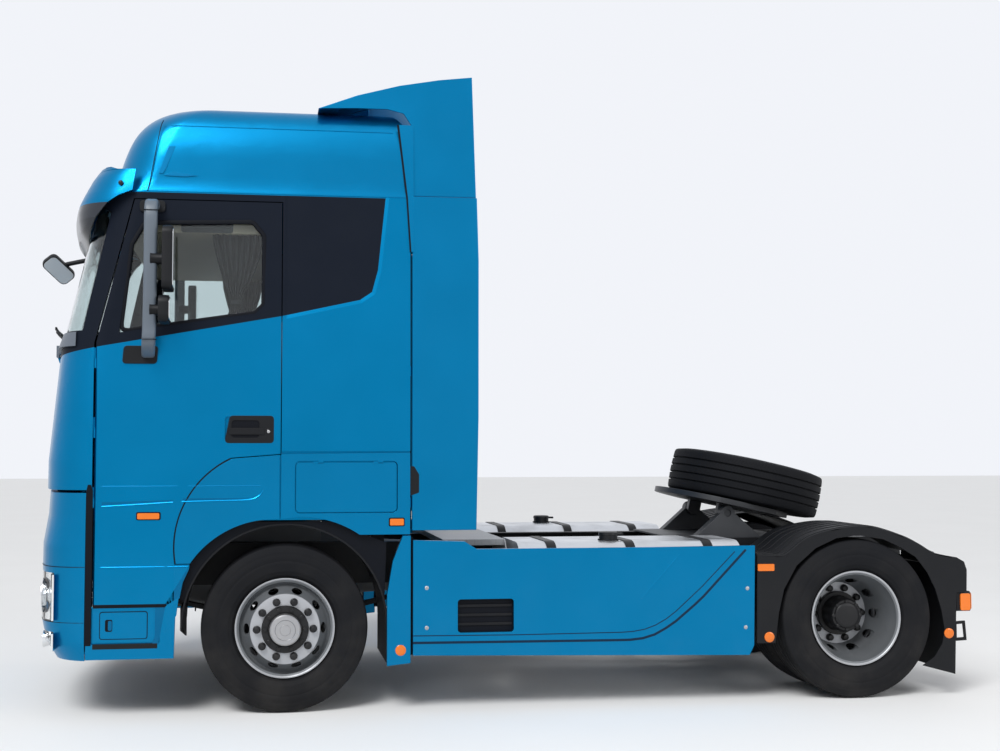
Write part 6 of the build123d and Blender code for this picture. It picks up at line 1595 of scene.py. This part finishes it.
    def guards(self) -> None:
        """Liners over the front wheels with their aprons, and ribbed guards with their flaps over the rear wheels."""
        out, into, middle = 615, 604, 515
        arch, inner = [[(r * math.cos(t), middle + r * math.sin(t)) for t in map(math.radians, range(0, 181, 5))]
                       for r in (out, into)]
        apron = [*[(x, z) for x, z in arch if z > 640], (-640, 700), (-560, 900), (-420, 1060), (-240, 1140),
                 (330, 1140), (470, 1060), (into, 1010)]
        line = [((p.x - FRONT_AXLE) * 1000, p.z * 1000)
                for p in arc_points([(WHEELBASE + x, 0, z) for x, z in self.guard_line], 7)]
        both("mudguards_dressed", [
            plate("gap", box(740, 335, 768, 1040), -1214, -1209, SEAL, 0.5),
            plate("liner", [*arch, *reversed(inner)], -1210, -620, BLACK),
            plate("apron", apron, -1204, -1196, SEAL, 0.0),
            plate("flap", box(into, middle, out, 290), -1210, -620, BLACK),
            prism("front", ((-1204, 505), (-620, 395), (-620, 640), (-1204, 640)), "x", -615, -606, BLACK, 1.0),
            self.rod(-585, 735, 500), self.rod(585, 735, 500),
            ribbon("guard", line, -923.5, rounded(12, 645, 4, steps=3), BLACK),
            *[ribbon("rib", [(x, z + 7) for x, z in line[:-6]], y, rounded(9, 26, 3, steps=3), BLACK)
              for y in range(-1215, -714, 100)],
            plate("side", [*self.guard_outer, *self.guard_inner], -1246, -1238, BLACK),
            plate("loop", ((4240, 471), (4326, 476), (4335, 351), (4240, 346)), -1240, -1228, BLACK, 3.0,
                  holes=[((4268, 453), (4310, 456), (4318, 371), (4268, 368))]),
            prism("rear", box(-1240, 876, -605, 156), "x", WHEELBASE + 620, WHEELBASE + 632, BLACK),
            self.rod(WHEELBASE - 600, 915, 600), self.rod(WHEELBASE + 580, 840, 600)], Body.CHASSIS, BLACK,
            "mudguards")

    def build(self) -> None:
        """Build the chassis."""
        self.running_gear()
        self.tanks()
        self.skirts()
        self.lamps()
        self.guards()
        eased("locker_lid_left", PAINT, Body.LEFT_LID)
        eased("locker_lid_right", PAINT, Body.RIGHT_LID)


@dataclass
class Interior:
    """Seats, bunk, dashboard, console and curtains.

    Attributes:
        curtain_y: Distance of a curtain from the middle of the cab.
        curtain_flat: Width and length that a curtain was cut to, in mm.
        curtain_rows: Height, gathered width and middle x down a curtain.
        levels: Rows of points down a curtain.
        deepest: Greatest depth of a pleat that is tried.
        tries: Halvings in the search for the depth that takes up the cut width.
        pleats: Pleats across a curtain.
        cushion: Outline of the seat cushion, x and z.
        back: Outline of the backrest.
        rest: Outline of the head rest.
    """

    curtain_y: float = 1120.0
    curtain_flat: Pair = (760.0, 575.0)
    curtain_rows: tuple[Triple, ...] = (
        (2875, 305, -298), (2820, 296, -298), (2740, 262, -296), (2660, 214, -298), (2580, 158, -302), (2520, 96, -305),
        (2480, 66, -306), (2455, 62, -306), (2430, 74, -304), (2390, 118, -296), (2340, 150, -290), (2302, 168, -288))
    levels: int = 47
    deepest: float = 60.0
    tries: int = 24
    pleats: int = 8
    cushion: tuple[Pair, ...] = ((-600, 1575), (-140, 1575), (-150, 1690), (-300, 1690), (-590, 1705), (-612, 1650))
    back: tuple[Pair, ...] = ((-140, 1600), (-65, 1590), (80, 2370), (-22, 2395), (-80, 2200), (-150, 1800))
    rest: tuple[Pair, ...] = ((-20, 2410), (78, 2395), (90, 2555), (5, 2570))

    def curtain(self) -> Obj:
        """Left curtain: pleats of one cut width, gathered by a band."""
        columns = self.pleats * 12
        top, foot = self.curtain_rows[0][0], self.curtain_rows[-1][0]
        bm = bmesh.new()
        grid = []
        for z in (foot + (top - foot) * k / (self.levels - 1) for k in range(self.levels)):
            width, middle = between(self.curtain_rows, z), between(self.curtain_rows, z, 2)
            low, high = 0.0, self.deepest
            for _ in range(self.tries):
                amplitude = (low + high) / 2
                line = self.pleated(width, amplitude, columns)
                if sum(math.dist(a, b) for a, b in zip(line, line[1:])) < self.curtain_flat[0]:
                    low = amplitude
                else:
                    high = amplitude
            grid.append([bm.verts.new(point(middle + x, -self.curtain_y + y, z)) for x, y in line])
        for lower, upper in zip(grid, grid[1:]):
            for k in range(columns):
                bm.faces.new((lower[k], lower[k + 1], upper[k + 1], upper[k]))
        cloth = settle("curtain", bm, CURTAIN, 180)
        modifier(cloth, "SOLIDIFY", thickness=0.0016, offset=0.0)
        return plain_mesh(cloth)

    def pleated(self, width: float, amplitude: float, columns: int) -> list[Pair]:
        """Level line of the pleats, with folds of uneven depth."""
        line = []
        for k in range(columns + 1):
            t = k / columns
            depth = amplitude * (0.8 + 0.25 * math.sin(7.3 * t + 0.6))
            line.append(((t - 0.5) * width, depth * math.sin(2 * math.pi * self.pleats * t)))
        return line

    def curtains(self) -> None:
        """Both curtains with their bands."""
        curtain = self.curtain()
        other = mirrored(curtain, "curtain_right")
        curtain.name = "curtain_left"
        for piece in (curtain, other):
            fit(piece, Body.CAB, CURTAIN, "curtains")
        band = lathe("band", ((-13, 36), (13, 36), (13, 33), (-13, 33)), point(-306, -self.curtain_y, 2462), UP,
                     CURTAIN, 32, closed=True)
        both("curtain_bands", [band], Body.CAB, CURTAIN)

    def seats(self) -> None:
        """Seat and back cushions as stuffed cloth on hard bases."""
        pads = []
        for outline, low, high, soft in ((self.cushion, -895, -405, 10), (self.back, -885, -415, 10),
                                         (self.rest, -775, -525, 8)):
            pads.append(swollen(plate("pad", soft_corners(outline, 30), low, high, UPHOLSTERY, 22.0), 13.0, soft))
        cushions = joined("seat_cushions", [*pads, *[mirrored(piece, piece.name + "_m") for piece in pads]])
        fit(cushions, Body.CAB, UPHOLSTERY, "seats")
        base = prism("base", rounded(350, 300, 40, (-330, -650)), "z", 1212, 1560, CABIN_DARK, 6.0)
        pan = plate("pan", ((-590, 1545), (-120, 1545), (-110, 1577), (-595, 1577)), -885, -415, CABIN_DARK, 5.0)
        both("seat_bases", [base, pan], Body.CAB, CABIN_DARK)

    def bunk(self) -> None:
        """Mattress of the bunk."""
        form = prism("mattress", rounded(512, 2310, 40, (425, 0)), "z", 1566, 1704, UPHOLSTERY, 26.0)
        pad = swollen(form, 20.0, 8)
        fit(pad, Body.CAB, UPHOLSTERY, "bunk")

    def build(self) -> None:
        """Dress what shows through the windows."""
        eased("dashboard", CABIN_DARK, Body.CAB, 4.0)
        eased("overhead_console", CABIN_BEIGE, Body.CAB, 4.0)
        self.curtains()
        self.seats()
        self.bunk()
        grip = ((-620, -1155, 2925), (-612, -1172, 2912), (-560, -1176, 2908), (-400, -1176, 2910),
                (-350, -1172, 2914), (-342, -1155, 2926))
        both("grab_handles", [
            bead("grip", grip, 11, CABIN_DARK, 6, 12),
            plate("base", rounded(310, 88, 16, (-482, 2922)), -1163, -1158, CABIN_DARK),
            plate("face", ((-1040, 2878), (-92, 2878), (-92, 2985), (-1000, 2985)), -1160, -1150, CABIN_BEIGE, 4.0)],
            Body.CAB, CABIN_DARK)


@dataclass
class Studio:
    """Floor, backdrop, lamps and camera.

    Attributes:
        eye: Place of the camera in metres.
        yaw: Turn from +Y towards +X in radians.
        pitch: Upward tilt in radians.
        lens: Focal length on a sensor 36 mm wide.
    """

    eye: Triple = (-1.4895, -9.139, 1.583)
    yaw: float = 0.145
    pitch: float = 0.055
    lens: float = 47.12

    def ground(self) -> None:
        """Pale floor that keeps the truck's shadow."""
        bm = bmesh.new()
        bmesh.ops.create_grid(bm, x_segments=1, y_segments=1, size=60)
        floor = from_bmesh("studio_floor", bm)
        made = bpy.data.materials.new("studio_floor")
        made.use_nodes = True
        n = Nodes(made.node_tree)
        cloud = n.mix(n.noise(n.place(), 0.8, 4.0), (0.84, 0.84, 0.83, 1), (0.88, 0.88, 0.87, 1))
        n.fill(made.node_tree.nodes["Principled BSDF"], Base_Color=cloud, Roughness=0.85)
        floor.data.materials.append(made)

    def sky(self) -> None:
        """Pale world: softer as light, white where the camera or a reflection sees it."""
        world = bpy.data.worlds.new("studio")
        bpy.context.scene.world = world
        world.use_nodes = True
        world.node_tree.nodes.clear()
        n = Nodes(world.node_tree)
        rays = n.add("ShaderNodeLightPath").outputs
        seen = n.math("MAXIMUM", n.math("MAXIMUM", rays["Is Camera Ray"], rays["Is Glossy Ray"]),
                      rays["Is Transmission Ray"])
        glow = n.fill(n.add("ShaderNodeBackground", in_0=(0.93, 0.95, 1.0, 1)),
                      Strength=n.math("MULTIPLY_ADD", seen, 0.45, 0.5))
        n.fill(n.add("ShaderNodeOutputWorld"), Surface=glow.outputs[0])

    def set_up(self, data: object, place: Triple, way: Vector) -> Obj:
        """Lamp or camera at a place, facing a way."""
        made = new_object(data.name, data)
        made.location = place
        made.rotation_euler = way.to_track_quat("-Z", "Y").to_euler()
        return made

    def lamps(self) -> None:
        """Even, soft sun from above the front left, and two soft discs."""
        sun = bpy.data.lights.new("daylight", "SUN")
        sun.energy = 1.5
        sun.angle = math.radians(25)
        self.set_up(sun, (0, 0, 0), Vector((0.45, 0.75, -1.0)))
        for name, place, target, size, power in (("key", (-5.0, -9.0, 8.5), (0.2, 0, 1.6), 4.5, 420),
                                                 ("fill", (7.0, -7.0, 4.5), (0.5, 0, 1.3), 5.0, 160)):
            light = bpy.data.lights.new(name, "AREA")
            light.shape = "DISK"
            light.size = size
            light.energy = power
            self.set_up(light, place, Vector(target) - Vector(place))

    def camera(self) -> None:
        """Camera at the photograph's viewing angle."""
        lens = bpy.data.cameras.new("camera")
        lens.lens = self.lens
        lens.sensor_width = 36
        lens.shift_x = 0.05
        level = math.cos(self.pitch)
        way = Vector((math.sin(self.yaw) * level, math.cos(self.yaw) * level, math.sin(self.pitch)))
        bpy.context.scene.camera = self.set_up(lens, self.eye, way)

    def build(self) -> None:
        """Set the stage."""
        self.ground()
        self.sky()
        self.lamps()
        self.camera()
        bpy.context.scene.view_settings.view_transform = "Standard"


def main() -> None:
    """Build the sub-assemblies in order."""
    logging.basicConfig(level=logging.INFO)
    for assembly in (Wheels(), Cab(), Doors(), Chassis(), Interior(), Studio()):
        LOG.info("building %s", type(assembly).__name__)
        assembly.build()


if __name__ == "__main__":
    main()
